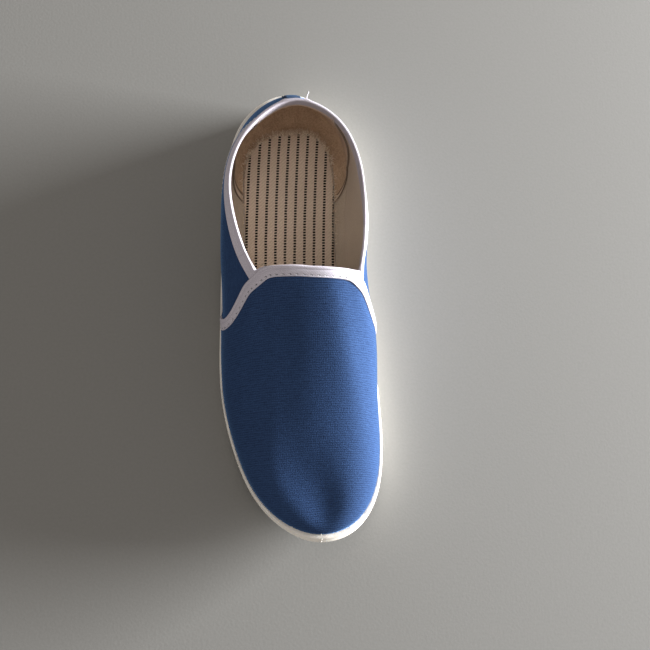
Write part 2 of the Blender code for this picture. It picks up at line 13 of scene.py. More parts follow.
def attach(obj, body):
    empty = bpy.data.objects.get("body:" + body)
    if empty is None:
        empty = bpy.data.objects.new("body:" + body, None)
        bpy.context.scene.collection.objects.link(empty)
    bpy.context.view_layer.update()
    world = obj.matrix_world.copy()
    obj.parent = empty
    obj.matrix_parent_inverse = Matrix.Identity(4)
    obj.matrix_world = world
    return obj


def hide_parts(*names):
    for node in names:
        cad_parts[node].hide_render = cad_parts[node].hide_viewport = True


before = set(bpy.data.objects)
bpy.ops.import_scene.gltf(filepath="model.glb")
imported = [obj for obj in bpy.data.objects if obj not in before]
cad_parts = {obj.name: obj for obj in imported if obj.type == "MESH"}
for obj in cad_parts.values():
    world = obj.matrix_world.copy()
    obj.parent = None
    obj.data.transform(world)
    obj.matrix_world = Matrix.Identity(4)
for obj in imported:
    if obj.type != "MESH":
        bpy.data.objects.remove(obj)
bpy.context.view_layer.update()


# Quarters: the blue cotton canvas around the heel, from one corner of the throat to the other. They
# are stitched to the lining, pulled over the last, turned in under the foot and moulded into the sole.
MM = 0.001
LENGTH = 281.0
BALL_WIDTH = 100.0
HEEL_HEIGHT = 70.0
INSTEP_HEIGHT = 72.5
WALL = 1.6
CANVAS = 0.8
VAMP_LAYER = 0.9
GAP = 0.3

# Sections of the last from the heel's back along the outer side, round the toe and back. Each goes
# from the foot line to the edge of the opening; places are shares of the sizes above.
SECTION_COLUMNS = ("place", "panel", "foot_along", "foot_out", "foot_up", "edge_along", "edge_out",
                   "edge_up", "rise", "flare", "sweep", "dip", "tuck", "welt", "roll")
SECTIONS = (
    ("heel_back", "quarter", .010, .000, 28.0, .079, .004, 1.000, 13, 0.0, .00, 16, 22, 2.8, 0.0),
    ("heel_corner_outer", "quarter", .053, -.495, 28.0, .111, -.410, .980, 13, -1.0, .00, 16, 16, 3.2, 0.0),
    ("heel_outer", "quarter", .139, -.740, 27.5, .165, -.672, .930, 13, 1.5, .15, 15, 9, 2.6, 4.0),
    ("quarter_outer", "quarter", .256, -.835, 26.0, .256, -.812, .865, 13, 4.0, .10, 14, 10, 2.4, 5.5),
    ("waist_outer", "quarter", .384, -.885, 23.5, .370, -.705, .840, 14, 4.5, .40, 11, 12, 2.4, 8.5),
    ("corner_outer", "corner", .534, -.924, 20.5, .447, -.540, .885, 15, 3.5, .50, 14, 10, 2.6, 1.0),
    ("ball_outer", "vamp", .676, -.932, 18.5, .442, -.420, .945, 17, 2.0, .55, 17, 8, 2.5, 0.0),
    ("forepart_outer", "vamp", .800, -.796, 18.8, .443, -.260, .980, 19, 1.5, .59, 26, 7, 2.6, 0.0),
    ("toe_corner_outer", "vamp", .908, -.516, 20.5, .444, -.130, .996, 24, 1.5, .62, 36, 7, 3.2, 0.0),
    ("toe_side_outer", "vamp", .960, -.180, 22.0, .445, -.020, 1.000, 18, 1.5, .63, 36, 7, 4.6, 0.0),
    ("toe", "vamp", .978, .160, 22.5, .447, .070, 1.000, 15, 1.5, .63, 35, 7, 5.8, 0.0),
    ("toe_side_inner", "vamp", .959, .540, 22.0, .448, .160, 1.000, 14, 1.5, .63, 33, 7, 5.3, 0.0),
    ("toe_corner_inner", "vamp", .904, .780, 20.5, .449, .260, .996, 12, 1.5, .62, 29, 7, 4.6, 0.0),
    ("forepart_inner", "vamp", .811, .892, 18.8, .450, .380, .980, 11, 1.5, .58, 23, 7, 4.3, 0.0),
    ("ball_inner", "vamp", .701, .886, 18.5, .451, .520, .945, 16, 3.0, .54, 17, 7, 4.6, 0.0),
    ("corner_inner", "corner", .569, .830, 21.0, .454, .690, .885, 15, 9.0, .40, 14, 8, 3.4, 0.0),
    ("waist_inner", "quarter", .409, .676, 24.5, .384, .775, .840, 14, 11.0, -.70, 15, 8, 2.6, 0.0),
    ("quarter_inner", "quarter", .256, .696, 26.5, .256, .800, .865, 13, 5.0, -.05, 16, 9, 2.6, 0.0),
    ("heel_inner", "quarter", .139, .720, 27.5, .167, .684, .930, 13, 1.5, .15, 16, 12, 2.6, 0.0),
    ("heel_corner_inner", "quarter", .053, .480, 28.0, .109, .434, .980, 13, 0.0, .15, 16, 15, 2.7, 0.0),
)
VAMP_EDGE_COLUMNS = ("side", "corner_run", "belly", "hook_run")
VAMP_EDGES = (("outer", 30.0, 6.0, 11.0), ("inner", 16.0, 0.5, 11.0))
CORNER_FROM = 0.84
HOOK_FROM = 0.34
HOOK_CURVE = 1.5
BELLY_SPAN = (0.28, 0.86)
EDGE_SPREAD = 75.0
FLOOR_HEIGHTS = ((0.00, 22.5), (0.21, 21.5), (0.43, 15.5), (0.64, 10.5), (0.82, 10.5), (1.00, 15.0))
MIDDLE_SPAN = (45.0, 235.0)
MIDDLE_SLOPE = 0.035
RUN_STEP = 0.5
HEIGHT_STEP = 0.01


def table_column(name):
    place = SECTION_COLUMNS.index(name)
    return np.array([row[place] for row in SECTIONS])


def cubic_through(knots, values, closed):
    """Smooth curve through values at the knots, as a function of the run along it."""
    knots = np.asarray(knots, float)
    values = np.asarray(values, float)
    count = len(knots)
    step = np.diff(knots)
    slope = np.diff(values, axis=0) / step[:, None]
    matrix = np.zeros((count, count))
    right = np.zeros_like(values)
    for i in range(1, count - 1):
        matrix[i, i - 1:i + 2] = step[i - 1], 2 * (step[i - 1] + step[i]), step[i]
        right[i] = 6 * (slope[i] - slope[i - 1])
    matrix[0, 0] = 1
    matrix[-1, -1] = 1
    if closed:
        matrix[0, -1] = -1
        matrix[-1, [0, 1, -2, -1]] = 2 * step[0], step[0], step[-1], 2 * step[-1]
        right[-1] = 6 * (slope[0] - slope[-1])
    bend = np.linalg.solve(matrix, right)

    def curve(run):
        run = np.asarray(run, float)
        if closed:
            run = knots[0] + (run - knots[0]) % (knots[-1] - knots[0])
        i = np.clip(np.searchsorted(knots, run, side="right") - 1, 0, count - 2)
        width = step[i][..., None]
        b = (run - knots[i])[..., None] / width
        a = 1 - b
        lift = ((a ** 3 - a) * bend[i] + (b ** 3 - b) * bend[i + 1]) * width ** 2 / 6
        return a * values[i] + b * values[i + 1] + lift

    return curve


def curve_through(rows):
    """Open smooth curve through the rows of a table, each starting with its knot."""
    return cubic_through([row[0] for row in rows], [row[1:] for row in rows], False)


def length_along(points):
    """Length from the first point of a line to each of its points."""
    return np.concatenate([[0.0], np.cumsum(np.linalg.norm(np.diff(points, axis=0), axis=1))])


def smooth(value, start, end):
    """0 before start, 1 after end, eased between."""
    t = np.clip((np.asarray(value, float) - start) / (end - start), 0, 1)
    return t * t * (3 - 2 * t)


def bell(value, middle, width):
    """1 at the middle, falling away evenly to both sides."""
    return np.exp(-((value - middle) / width) ** 2)


def unit(vectors):
    return vectors / np.maximum(np.linalg.norm(vectors, axis=-1, keepdims=True), 1e-12)


FOOT_ROWS = np.stack([table_column("foot_out") * BALL_WIDTH / 2, table_column("foot_along") * LENGTH,
                      table_column("foot_up")], -1)
EDGE_TOP = np.where(table_column("panel") == "quarter", HEEL_HEIGHT, INSTEP_HEIGHT)
EDGE_ROWS = np.stack([table_column("edge_out") * BALL_WIDTH / 2, table_column("edge_along") * LENGTH,
                      table_column("edge_up") * EDGE_TOP], -1)
FIRST_SHAPE = SECTION_COLUMNS.index("rise")
WELT = SECTION_COLUMNS.index("welt") - FIRST_SHAPE
SHAPE_ROWS = np.stack([table_column(name) for name in SECTION_COLUMNS[FIRST_SHAPE:]], -1)
RUNS = length_along(np.vstack([FOOT_ROWS, FOOT_ROWS[:1]])[:, :2])
GIRTH = RUNS[-1]
PLACES = [row[0] for row in SECTIONS]
OUTER, INNER = 0, 1
CORNER_OUTER = PLACES.index("corner_outer")
CORNER_INNER = PLACES.index("corner_inner")
RUN_OUTER = RUNS[CORNER_OUTER]
RUN_INNER = RUNS[CORNER_INNER]

foot_curve = cubic_through(RUNS, np.vstack([FOOT_ROWS, FOOT_ROWS[:1]]), True)
shape_curve = cubic_through(RUNS, np.vstack([SHAPE_ROWS, SHAPE_ROWS[:1]]), True)
throat_curve = cubic_through(RUNS[CORNER_OUTER:CORNER_INNER + 1],
                             EDGE_ROWS[CORNER_OUTER:CORNER_INNER + 1], False)
collar_curve = cubic_through(np.concatenate([RUNS[CORNER_INNER:-1], GIRTH + RUNS[:CORNER_OUTER + 1]]),
                             np.vstack([EDGE_ROWS[CORNER_INNER:], EDGE_ROWS[:CORNER_OUTER + 1]]), False)
floor_curve = curve_through([(share * LENGTH, up) for share, up in FLOOR_HEIGHTS])


def edge_at(run):
    """Edge of the opening: the throat between the corners, the collar around the heel."""
    run = np.asarray(run, float) % GIRTH
    in_throat = (run >= RUN_OUTER) & (run <= RUN_INNER)
    around = np.where(run < RUN_INNER, run + GIRTH, run)
    throat = throat_curve(np.clip(run, RUN_OUTER, RUN_INNER))
    collar = collar_curve(np.clip(around, RUN_INNER, GIRTH + RUN_OUTER))
    return np.where(in_throat[..., None], throat, collar)


def outward(run):
    """Level direction away from the foot line."""
    ahead = foot_curve(run + RUN_STEP) - foot_curve(run - RUN_STEP)
    return unit(np.stack([-ahead[..., 1], ahead[..., 0], np.zeros(ahead.shape[:-1])], -1))


def heading_middle(point):
    """Point of the middle line that a point of the foot heads for."""
    along = np.clip(point[..., 1], *MIDDLE_SPAN)
    return np.stack([(along - MIDDLE_SPAN[0]) * MIDDLE_SLOPE, along], -1)


def toward_middle(point):
    """Level direction from a point of the foot to the middle line."""
    way = unit(heading_middle(point) - point[..., :2])
    return np.concatenate([way, np.zeros_like(way[..., :1])], -1)


def insole_up(along):
    """Height of the seat that the sole gives the foot."""
    return floor_curve(np.clip(along, 0, LENGTH))[..., 0]


def wall(run, height):
    """Outer face of the quarters: height 0 on the foot line, 1 on the edge, -1 turned in below."""
    run, height = np.broadcast_arrays(np.asarray(run, float), np.asarray(height, float))
    foot = foot_curve(run)
    edge = edge_at(run)
    shape = shape_curve(run)
    rise, flare, sweep, dip, tuck, _, roll = (shape[..., i:i + 1] for i in range(7))
    inward = toward_middle(foot)
    level = np.array([1.0, 1.0, 0.0])
    upright = np.array([0.0, 0.0, 1.0])
    low_handle = foot + outward(run) * flare + upright * rise
    high_handle = edge + (foot - edge) * level * sweep + outward(run) * roll - upright * dip
    t = np.clip(height, 0, 1)[..., None]
    risen = ((1 - t) ** 3 * foot + 3 * (1 - t) ** 2 * t * low_handle
             + 3 * (1 - t) * t ** 2 * high_handle + t ** 3 * edge)
    turn = np.clip(-height, 0, 1)[..., None] * np.pi / 2
    seat = insole_up((foot + inward * tuck)[..., 1])[..., None]
    turned = foot + inward * tuck * (1 - np.cos(turn)) - upright * (foot[..., 2:] - seat) * np.sin(turn)
    return np.where(height[..., None] >= 0, risen, turned)


def wall_normal(run, height):
    """Direction out of the wall."""
    high = np.clip(height + HEIGHT_STEP, -1, 1)
    low = np.clip(height - HEIGHT_STEP, -1, 1)
    along = wall(run + RUN_STEP, height) - wall(run - RUN_STEP, height)
    return unit(np.cross(wall(run, high) - wall(run, low), along))


def off_wall(run, height, lift):
    """Places at a lift off the quarters' outer face."""
    return wall(run, height) + wall_normal(run, height) * np.asarray(lift)[..., None]


def edge_lean(side, height):
    """How far one of the vamp's side edges lies towards the toe from its corner section."""
    row = dict(zip(VAMP_EDGE_COLUMNS, VAMP_EDGES[side]))
    height = np.asarray(height, float)
    rounded = row["corner_run"] * np.clip((height - CORNER_FROM) / (1 - CORNER_FROM), 0, 1) ** 2
    bowed = row["belly"] * np.sin(np.pi * np.clip((height - BELLY_SPAN[0]) / np.ptp(BELLY_SPAN), 0, 1))
    hooked = row["hook_run"] * np.clip((HOOK_FROM - np.maximum(height, 0)) / HOOK_FROM, 0, 1) ** HOOK_CURVE
    return rounded + bowed - hooked


def leaned(run, height):
    """Run of a column at a height, with the columns beside the vamp's edges leaning along them."""
    near_outer = 1 - smooth(np.abs(run - RUN_OUTER), 0, EDGE_SPREAD)
    near_inner = 1 - smooth(np.abs(run - RUN_INNER), 0, EDGE_SPREAD)
    return run + edge_lean(OUTER, height) * near_outer - edge_lean(INNER, height) * near_inner


# Middle of the sole on the floor is the part's origin, and the toe points to -Y.
AROUND = np.linspace(0, GIRTH, 420, endpoint=False)
sole_outline = foot_curve(AROUND) + outward(AROUND) * shape_curve(AROUND)[:, [WELT]]
MIDDLE = (sole_outline.min(axis=0) + sole_outline.max(axis=0)) / 2


def placed(points):
    """Places on the shoe in the part's frame, in metres."""
    return np.stack([points[..., 0] - MIDDLE[0], MIDDLE[1] - points[..., 1], points[..., 2]], -1) * MM


RIPPLE_WAVES = 7
RIPPLE_STRETCH = (0.7, 1.5)
RIPPLE_SIZE = 2.6


def ripple(a, b, pitch, seed):
    """Even, seeded waviness of about one in height, over two lengths along a sheet."""
    random = np.random.default_rng(seed)
    total = 0.0
    for _ in range(RIPPLE_WAVES):
        turn = random.uniform(0, 2 * np.pi)
        phase = random.uniform(0, 2 * np.pi)
        stretch = random.uniform(*RIPPLE_STRETCH)
        total = total + np.sin((a * np.cos(turn) + b * np.sin(turn)) * 2 * np.pi / (pitch * stretch) + phase)
    return total / RIPPLE_SIZE


PINCH = 0.45
PINCH_SPAN = (0.87, 0.97)
PINCH_FADE = (2.0, 16.0)
SLACK = 0.06
SLACK_PITCH = 34.0
SLACK_SEED = 3
SLACK_LOW = (0.05, 0.30)
SLACK_HIGH = (0.75, 0.95)
WALL_HEIGHT = 45.0
WORN_UP = (24.0, 32.0)
WORN_ALONG = (160.0, 175.0)

# The hollow worn in over the toes, station by station: where its bottom lies across, how deep it is,
# and how wide its slopes are to the outer and to the inner side.
HOLLOW = ((192.0, -6.0, 0.0, 12.0, 11.0), (208.0, -4.0, 0.0, 13.0, 12.0), (222.0, 0.5, 0.4, 18.0, 16.0),
          (236.0, 1.5, 1.6, 20.0, 17.5), (250.0, 6.5, 2.5, 17.5, 13.0), (262.0, 9.0, 2.5, 13.0, 10.0),
          (272.0, 9.0, 1.1, 8.0, 7.5), (280.0, 9.0, 0.0, 6.0, 7.0))
hollow_curve = curve_through(HOLLOW)


def worn(points):
    """How far wear has pushed the canvas out at some places of the vamp."""
    bottom, depth, outer_width, inner_width = np.moveaxis(
        hollow_curve(np.clip(points[..., 1], HOLLOW[0][0], HOLLOW[-1][0])), -1, 0)
    away = points[..., 0] - bottom
    slope = bell(away, 0.0, np.where(away < 0, outer_width, inner_width))
    return -depth * slope * smooth(points[..., 2], *WORN_UP)


def pinched(run, height, lift):
    """Lift off the wall, drawn to its middle where the folded tape squeezes the collar's edge."""
    around = run % GIRTH
    from_corner = np.maximum(np.maximum(RUN_OUTER - around, around - RUN_INNER), 0)
    pinch = PINCH * smooth(height, *PINCH_SPAN) * smooth(from_corner, *PINCH_FADE)
    return (lift + WALL / 2) * (1 - pinch) - WALL / 2


def cloth_skin(run, height, lift):
    """Places on the upper at a lift off the quarters' outer face, slack and creased as worn canvas is."""
    points = wall(run, height)
    lift = pinched(run, height, lift)
    slack = SLACK * ripple(run, height * WALL_HEIGHT, SLACK_PITCH, SLACK_SEED)
    slack = slack * smooth(height, *SLACK_LOW) * (1 - smooth(height, *SLACK_HIGH))
    wear = worn(points) * smooth(points[..., 1], *WORN_ALONG)
    return points + wall_normal(run, height) * (lift + slack + wear)[..., None]


def sheet_faces(columns, rows, ring):
    """Faces of a closed sheet: an outer and an inner grid of columns by rows, and the rims between."""
    index = np.arange(2 * columns * rows).reshape(2, columns, rows)
    if ring:
        index = np.concatenate([index, index[:, :1]], axis=1)
    outer, inner = index

    def strip(a, b):
        return np.stack([a[:-1], a[1:], b[1:], b[:-1]], -1).reshape(-1, 4)

    faces = [np.stack([side[:-1, :-1], side[1:, :-1], side[1:, 1:], side[:-1, 1:]], -1).reshape(-1, 4)
             for side in (outer, inner)]
    faces[1] = faces[1][:, ::-1]
    faces += [strip(inner[:, 0], outer[:, 0]), strip(outer[:, -1], inner[:, -1])]
    if not ring:
        faces += [strip(outer[0], inner[0]), strip(inner[-1], outer[-1])]
    return np.concatenate(faces)


def add_piece(name, points, faces, material, cloth=None, crisp=45.0):
    """Object from places and faces, riding on the shoe, with its cloth lengths where it has any."""
    mesh = bpy.data.meshes.new(name)
    mesh.from_pydata(placed(np.asarray(points)).tolist(), [], [tuple(int(i) for i in face) for face in faces])
    shape = bmesh.new()
    shape.from_mesh(mesh)
    bmesh.ops.recalc_face_normals(shape, faces=shape.faces)
    shape.to_mesh(mesh)
    shape.free()
    if cloth is not None:
        lengths = mesh.attributes.new("cloth", "FLOAT_VECTOR", "POINT")
        lengths.data.foreach_set("vector", np.asarray(cloth, np.float32).ravel())
    mesh.shade_smooth()
    mesh.set_sharp_from_angle(angle=np.radians(crisp))
    mesh.materials.append(material)
    made = bpy.data.objects.new(name, mesh)
    bpy.context.scene.collection.objects.link(made)
    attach(made, "root")
    return made


def add_sheet(name, outer, inner, material, cloth, ring=False):
    """Closed sheet between an outer and an inner grid of places."""
    points = np.concatenate([outer.reshape(-1, 3), inner.reshape(-1, 3)])
    lengths = np.concatenate([cloth.reshape(-1, 3)] * 2)
    return add_piece(name, points, sheet_faces(*outer.shape[:2], ring), material, lengths)


def new_material(name):
    """Empty node material, with its shader."""
    material = bpy.data.materials.new(name)
    material.use_nodes = True
    return material, material.node_tree, material.node_tree.nodes["Principled BSDF"]


def node(tree, kind, inputs=(), **settings):
    """Shader node with settings, and with values or links on its inputs."""
    made = tree.nodes.new("ShaderNode" + kind)
    for key, value in settings.items():
        setattr(made, key, value)
    for key, value in dict(inputs).items():
        if isinstance(value, bpy.types.NodeSocket):
            tree.links.new(value, made.inputs[key])
        else:
            made.inputs[key].default_value = value
    return made.outputs[0]


def math(tree, operation, a, b=0.0, c=0.0):
    return node(tree, "Math", {0: a, 1: b, 2: c}, operation=operation)


def mixed(tree, *parts):
    """Sum of patterns, each by its share."""
    total = 0.0
    for pattern, share in parts:
        total = math(tree, "MULTIPLY_ADD", pattern, share, total)
    return total


def ramp(tree, value, start, end):
    """0 where a value is at the start, 1 where it is at the end."""
    return node(tree, "MapRange", {"Value": value, "From Min": start, "From Max": end})


def blended(tree, factor, low, high):
    return node(tree, "MixRGB", {"Fac": factor, "Color1": low, "Color2": high})


def stained(tree, colour, pattern, share, stain):
    """Colour with a share of a stain in it where a pattern is."""
    return blended(tree, math(tree, "MULTIPLY", pattern, share), colour, stain)


def set_even(shader, values):
    """Values that are the same all over."""
    for socket, value in values.items():
        shader.inputs[socket].default_value = value


def surfaced(tree, shader, colour, height, strength, depth, values):
    """Colour, relief of some depth in millimetres, and even values of a shader."""
    tree.links.new(colour, shader.inputs["Base Color"])
    relief = node(tree, "Bump", {"Height": height, "Strength": strength, "Distance": depth * MM})
    tree.links.new(relief, shader.inputs["Normal"])
    set_even(shader, values)


def bands(tree, lengths, axis, pitch, distortion):
    """Even threads across one direction of the cloth, 0 between them and 1 on top."""
    return node(tree, "TexWave", {"Vector": lengths, "Scale": 2 * np.pi / (20 * pitch), "Detail": 1.0,
                                  "Detail Scale": 1.5, "Distortion": distortion}, bands_direction=axis)


def patches(tree, lengths, scale, low, high, detail=2.0):
    """Cloudy patches between 0 and 1, with few in between."""
    cloud = node(tree, "TexNoise", {"Vector": lengths, "Scale": scale, "Detail": detail})
    return ramp(tree, cloud, low, high)


def cloth_lengths(tree, stretch=(1.0, 1.0, 1.0)):
    """The cloth's own lengths in millimetres, stretched along its threads."""
    lengths = node(tree, "Attribute", attribute_name="cloth")
    vector = lengths.node.outputs["Vector"]
    return node(tree, "Mapping", {"Vector": vector, "Scale": stretch})


WEFT_PITCH = 1.35
WEFT_WANDER = 2.4
WARP_PITCH = 1.15
WARP_WANDER = 5.0
BLUE_DEEP = (0.0112, 0.0185, 0.045, 1)
BLUE = (0.0225, 0.0420, 0.106, 1)
BLUE_PALE = (0.048, 0.098, 0.230, 1)
BLUE_SPECK = (0.010, 0.014, 0.030, 1)
BLUE_SHEEN = (0.26, 0.52, 1.0, 1)
CANVAS_SHEEN = 0.75


def woven_canvas(name, deep, middle, pale, sheen):
    """Plain woven canvas with uneven weft threads, pale worn knuckles and dark specks."""
    material, tree, shader = new_material(name)
    lengths = cloth_lengths(tree)
    weft = bands(tree, lengths, "Y", WEFT_PITCH, WEFT_WANDER)
    warp = bands(tree, lengths, "X", WARP_PITCH, WARP_WANDER)
    knuckles = math(tree, "MULTIPLY", weft, warp)
    slubs = patches(tree, cloth_lengths(tree, (0.25, 1.0, 1.0)), 0.80, 0.30, 0.72)
    fibres = patches(tree, cloth_lengths(tree, (0.85, 1.1, 1.0)), 1.25, 0.30, 0.72, 3.0)
    clouds = patches(tree, lengths, 0.045, 0.25, 0.75)
    specks = patches(tree, lengths, 0.62, 0.73, 0.78, 1.0)
    # Darker between the weft threads: partly the weave's own tone, partly painted shade in the gaps between
    # them.
    colour = blended(tree, math(tree, "MULTIPLY_ADD", weft, 0.45, 0.43), deep, middle)
    colour = blended(tree, mixed(tree, (fibres, 0.45), (knuckles, 0.35), (slubs, 0.25)), colour, pale)
    colour = stained(tree, colour, clouds, 0.12, deep)
    colour = stained(tree, colour, specks, 0.70, BLUE_SPECK)
    height = mixed(tree, (warp, 0.10), (weft, 0.50), (slubs, 0.30), (fibres, 0.60))
    surfaced(tree, shader, colour, height, 0.45, 0.30, {
        "Roughness": 0.92, "Specular IOR Level": 0.0, "Sheen Weight": sheen, "Sheen Roughness": 0.30,
        "Sheen Tint": BLUE_SHEEN})
    return material


CANVAS_BLUE = woven_canvas("canvas_blue", BLUE_DEEP, BLUE, BLUE_PALE, CANVAS_SHEEN)
QUARTER_UNDER = 7.0
QUARTER_COLUMNS = 270
SKIN_ROWS = np.concatenate([np.linspace(-0.7, 0.0, 9)[:-1], np.linspace(0.0, 1.0, 56)])


def grid(runs, heights):
    """Leaning columns and heights of a panel of the upper."""
    around = np.asarray(runs)[:, None] % GIRTH
    run = leaned(around, np.asarray(heights)[None, :])
    return run, np.broadcast_to(np.asarray(heights)[None, :], run.shape)


def climbed(points):
    """Length from the start of each column of a grid."""
    steps = np.linalg.norm(np.diff(points, axis=1), axis=-1)
    return np.concatenate([np.zeros((len(points), 1)), np.cumsum(steps, axis=1)], axis=1)


def lengths_of(run, points):
    return np.stack([run, climbed(points), np.zeros_like(run)], -1)


quarter_runs = np.linspace(RUN_INNER - QUARTER_UNDER, GIRTH + RUN_OUTER + QUARTER_UNDER, QUARTER_COLUMNS)
run, height = grid(quarter_runs, SKIN_ROWS)
outside = cloth_skin(run, height, 0.0)
quarters = add_sheet("quarter_canvas", outside, cloth_skin(run, height, -CANVAS), CANVAS_BLUE,
                     lengths_of(np.broadcast_to(quarter_runs[:, None], run.shape), outside))
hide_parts("upper")


# Counter stitching: two rows of pale thread that hold the heel counter in between canvas and lining,
# sewn through the quarters around the heel and down to the waist on both sides.
THREAD_RADIUS = 0.24
THREAD_TIP = 0.35
THREAD_PALE = (0.74, 0.73, 0.78, 1)
COUNTER_STITCH = 3.1
COUNTER_BITE = 0.75
COUNTER_ROWS = 1.7
COUNTER_LIFT = 0.12
COUNTER_ARCH = 0.16
COUNTER_POINTS = 400
STITCH_RISE = np.array((-1.0, 0.7, 1.0, 0.7, -1.0))
COUNTER_LINE = ((-108.0, 0.13), (-92.0, 0.31), (-72.0, 0.47), (-46.0, 0.575), (0.0, 0.61),
                (46.0, 0.575), (72.0, 0.47), (92.0, 0.31), (108.0, 0.13))
counter_curve = curve_through(COUNTER_LINE)


def threads(lines, radius, sides=4):
    """Round threads along lines of points, each drawn in to a tip at both ends."""
    lines = np.asarray(lines, float)
    count, steps = lines.shape[:2]
    ahead = unit(np.gradient(lines, axis=1))
    beside = unit(np.cross(ahead, np.where(np.abs(ahead[..., 2:]) < 0.9, (0.0, 0.0, 1.0), (1.0, 0.0, 0.0))))
    over = np.cross(beside, ahead)
    turn = np.arange(sides)[:, None] * 2 * np.pi / sides
    thick = np.broadcast_to(radius, (count, steps)).copy()
    thick[:, [0, -1]] *= THREAD_TIP
    points = lines[:, :, None] + thick[..., None, None] * (
        beside[:, :, None] * np.cos(turn) + over[:, :, None] * np.sin(turn))
    index = np.arange(count * steps * sides).reshape(count, steps, sides)
    turned = np.roll(index, -1, axis=2)
    faces = np.stack([index[:, :-1], turned[:, :-1], turned[:, 1:], index[:, 1:]], -1).reshape(-1, 4).tolist()
    return points.reshape(-1, 3), faces + index[:, 0, ::-1].tolist() + index[:, -1].tolist()


def plain_thread(name, colour):
    """Matt thread of one colour."""
    material, _, shader = new_material(name)
    set_even(shader, {"Base Color": colour, "Roughness": 0.85, "Specular IOR Level": 0.2})
    return material


def points_along(at, length, points, period=None):
    """Points of a line at some lengths along it."""
    return np.stack([np.interp(at, length, points[:, i], period=period) for i in range(3)], -1)


def stitch_lines(length, points, out, stitch, bite, arch):
    """Lines of stitches along a row of places: up out of one needle hole and down into the next."""
    starts = np.arange(bite, length[-1] - stitch, stitch)
    share = np.linspace(0, 1, len(STITCH_RISE))
    at = starts[:, None] + bite / 2 + (stitch - bite) * share[None, :]
    rise = arch * STITCH_RISE
    return points_along(at, length, points) + points_along(at, length, out) * rise[None, :, None]


PALE_THREAD = plain_thread("thread_pale", THREAD_PALE)
rows = []
for row in (0, 1):
    run = np.linspace(COUNTER_LINE[0][0], COUNTER_LINE[-1][0], COUNTER_POINTS)
    height = counter_curve(run)[:, 0]
    climb = wall(run % GIRTH, height + HEIGHT_STEP) - wall(run % GIRTH, height)
    height = height - row * COUNTER_ROWS * HEIGHT_STEP / np.linalg.norm(climb, axis=-1)
    at = leaned(run % GIRTH, height)
    line = cloth_skin(at, height, COUNTER_LIFT)
    rows.append(stitch_lines(length_along(line), line, wall_normal(at, height), COUNTER_STITCH, COUNTER_BITE,
                             COUNTER_ARCH))
counter_stitches = add_piece("counter_stitches", *threads(np.concatenate(rows), THREAD_RADIUS), PALE_THREAD)


# Vamp: one piece of the same canvas over the toes and instep, its weft straight across the foot. It
# is laid over the front of the quarters and stitched down, and has a hollow worn in over the toes.
CORNER_TRIM = (5.0, 8.0)
THROAT_TRIM = (1.2, 3.5)
VAMP_COLUMNS = 236
VAMP_ROWS = np.concatenate([np.linspace(-0.5, 0.0, 6)[:-1], np.linspace(0.0, 1.0, 96)])


def laid_lengths(points):
    """Lengths across and along a cloth laid over the instep, measured from the throat."""
    down = np.diff(points[:, ::-1], axis=1)
    over = np.gradient(points[:, ::-1], axis=0)[:, 1:]
    out = unit(np.cross(over, down))
    ahead = unit(np.array([0.0, 1.0, 0.0]) - out * out[..., 1:2])
    lengths = np.zeros_like(points)
    for i, way in enumerate((np.cross(ahead, out), ahead)):
        first = points[:, -1, i]
        lengths[:, 0, i] = first
        lengths[:, 1:, i] = first[:, None] + np.cumsum((down * way).sum(axis=-1), axis=1)
    return lengths[:, ::-1]


vamp_runs = np.linspace(RUN_OUTER, RUN_INNER, VAMP_COLUMNS)
run, height = grid(vamp_runs, VAMP_ROWS)
laid = wall(run, height)
from_corner = np.minimum(*(np.linalg.norm(laid - laid[place, -1], axis=-1) for place in (0, -1)))
from_throat = np.linalg.norm(laid - laid[:, -1:], axis=-1)
trimmed = (1 - smooth(from_corner, *CORNER_TRIM)) * (1 - smooth(from_throat, *THROAT_TRIM))
lift = VAMP_LAYER - trimmed * (VAMP_LAYER + CANVAS)
outside = cloth_skin(run, height, lift)
vamp = add_sheet("vamp_canvas", outside, cloth_skin(run, height, lift - CANVAS), CANVAS_BLUE,
                 laid_lengths(outside))
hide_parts("upper")


# Lining: thin beige cotton glued and stitched inside the canvas all round, turned in with it under
# the foot.
LINING_BEIGE = (0.66, 0.56, 0.45, 1)
LINING_DARK = (0.42, 0.335, 0.25, 1)
LINING_PITCH = 0.9


def cotton_lining(name):
    """Fine soft cotton with soiled patches."""
    material, tree, shader = new_material(name)
    lengths = cloth_lengths(tree)
    weft = bands(tree, lengths, "Y", LINING_PITCH, 1.6)
    warp = bands(tree, lengths, "X", LINING_PITCH, 1.6)
    threads = math(tree, "MULTIPLY", weft, warp)
    soil = patches(tree, lengths, 0.09, 0.35, 0.72, 4.0)
    nap = patches(tree, lengths, 1.3, 0.30, 0.72, 3.0)
    colour = blended(tree, mixed(tree, (nap, 0.5), (threads, 0.35)), LINING_DARK, LINING_BEIGE)
    colour = stained(tree, colour, soil, 0.35, LINING_DARK)
    surfaced(tree, shader, colour, mixed(tree, (threads, 1.0), (nap, 0.7)), 0.5, 0.2, {
        "Roughness": 0.95, "Sheen Weight": 0.25})
    return material


LINING_ROWS = np.concatenate([np.linspace(-1.0, 0.0, 12)[:-1], np.linspace(0.0, 1.0, 46)])
run, height = grid(AROUND, LINING_ROWS)
inside = cloth_skin(run, height, -WALL)
lining = add_sheet("cotton_lining", cloth_skin(run, height, -CANVAS), inside,
                   cotton_lining("lining_cotton"),
                   lengths_of(np.broadcast_to(AROUND[:, None], run.shape), inside), ring=True)
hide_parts("upper")


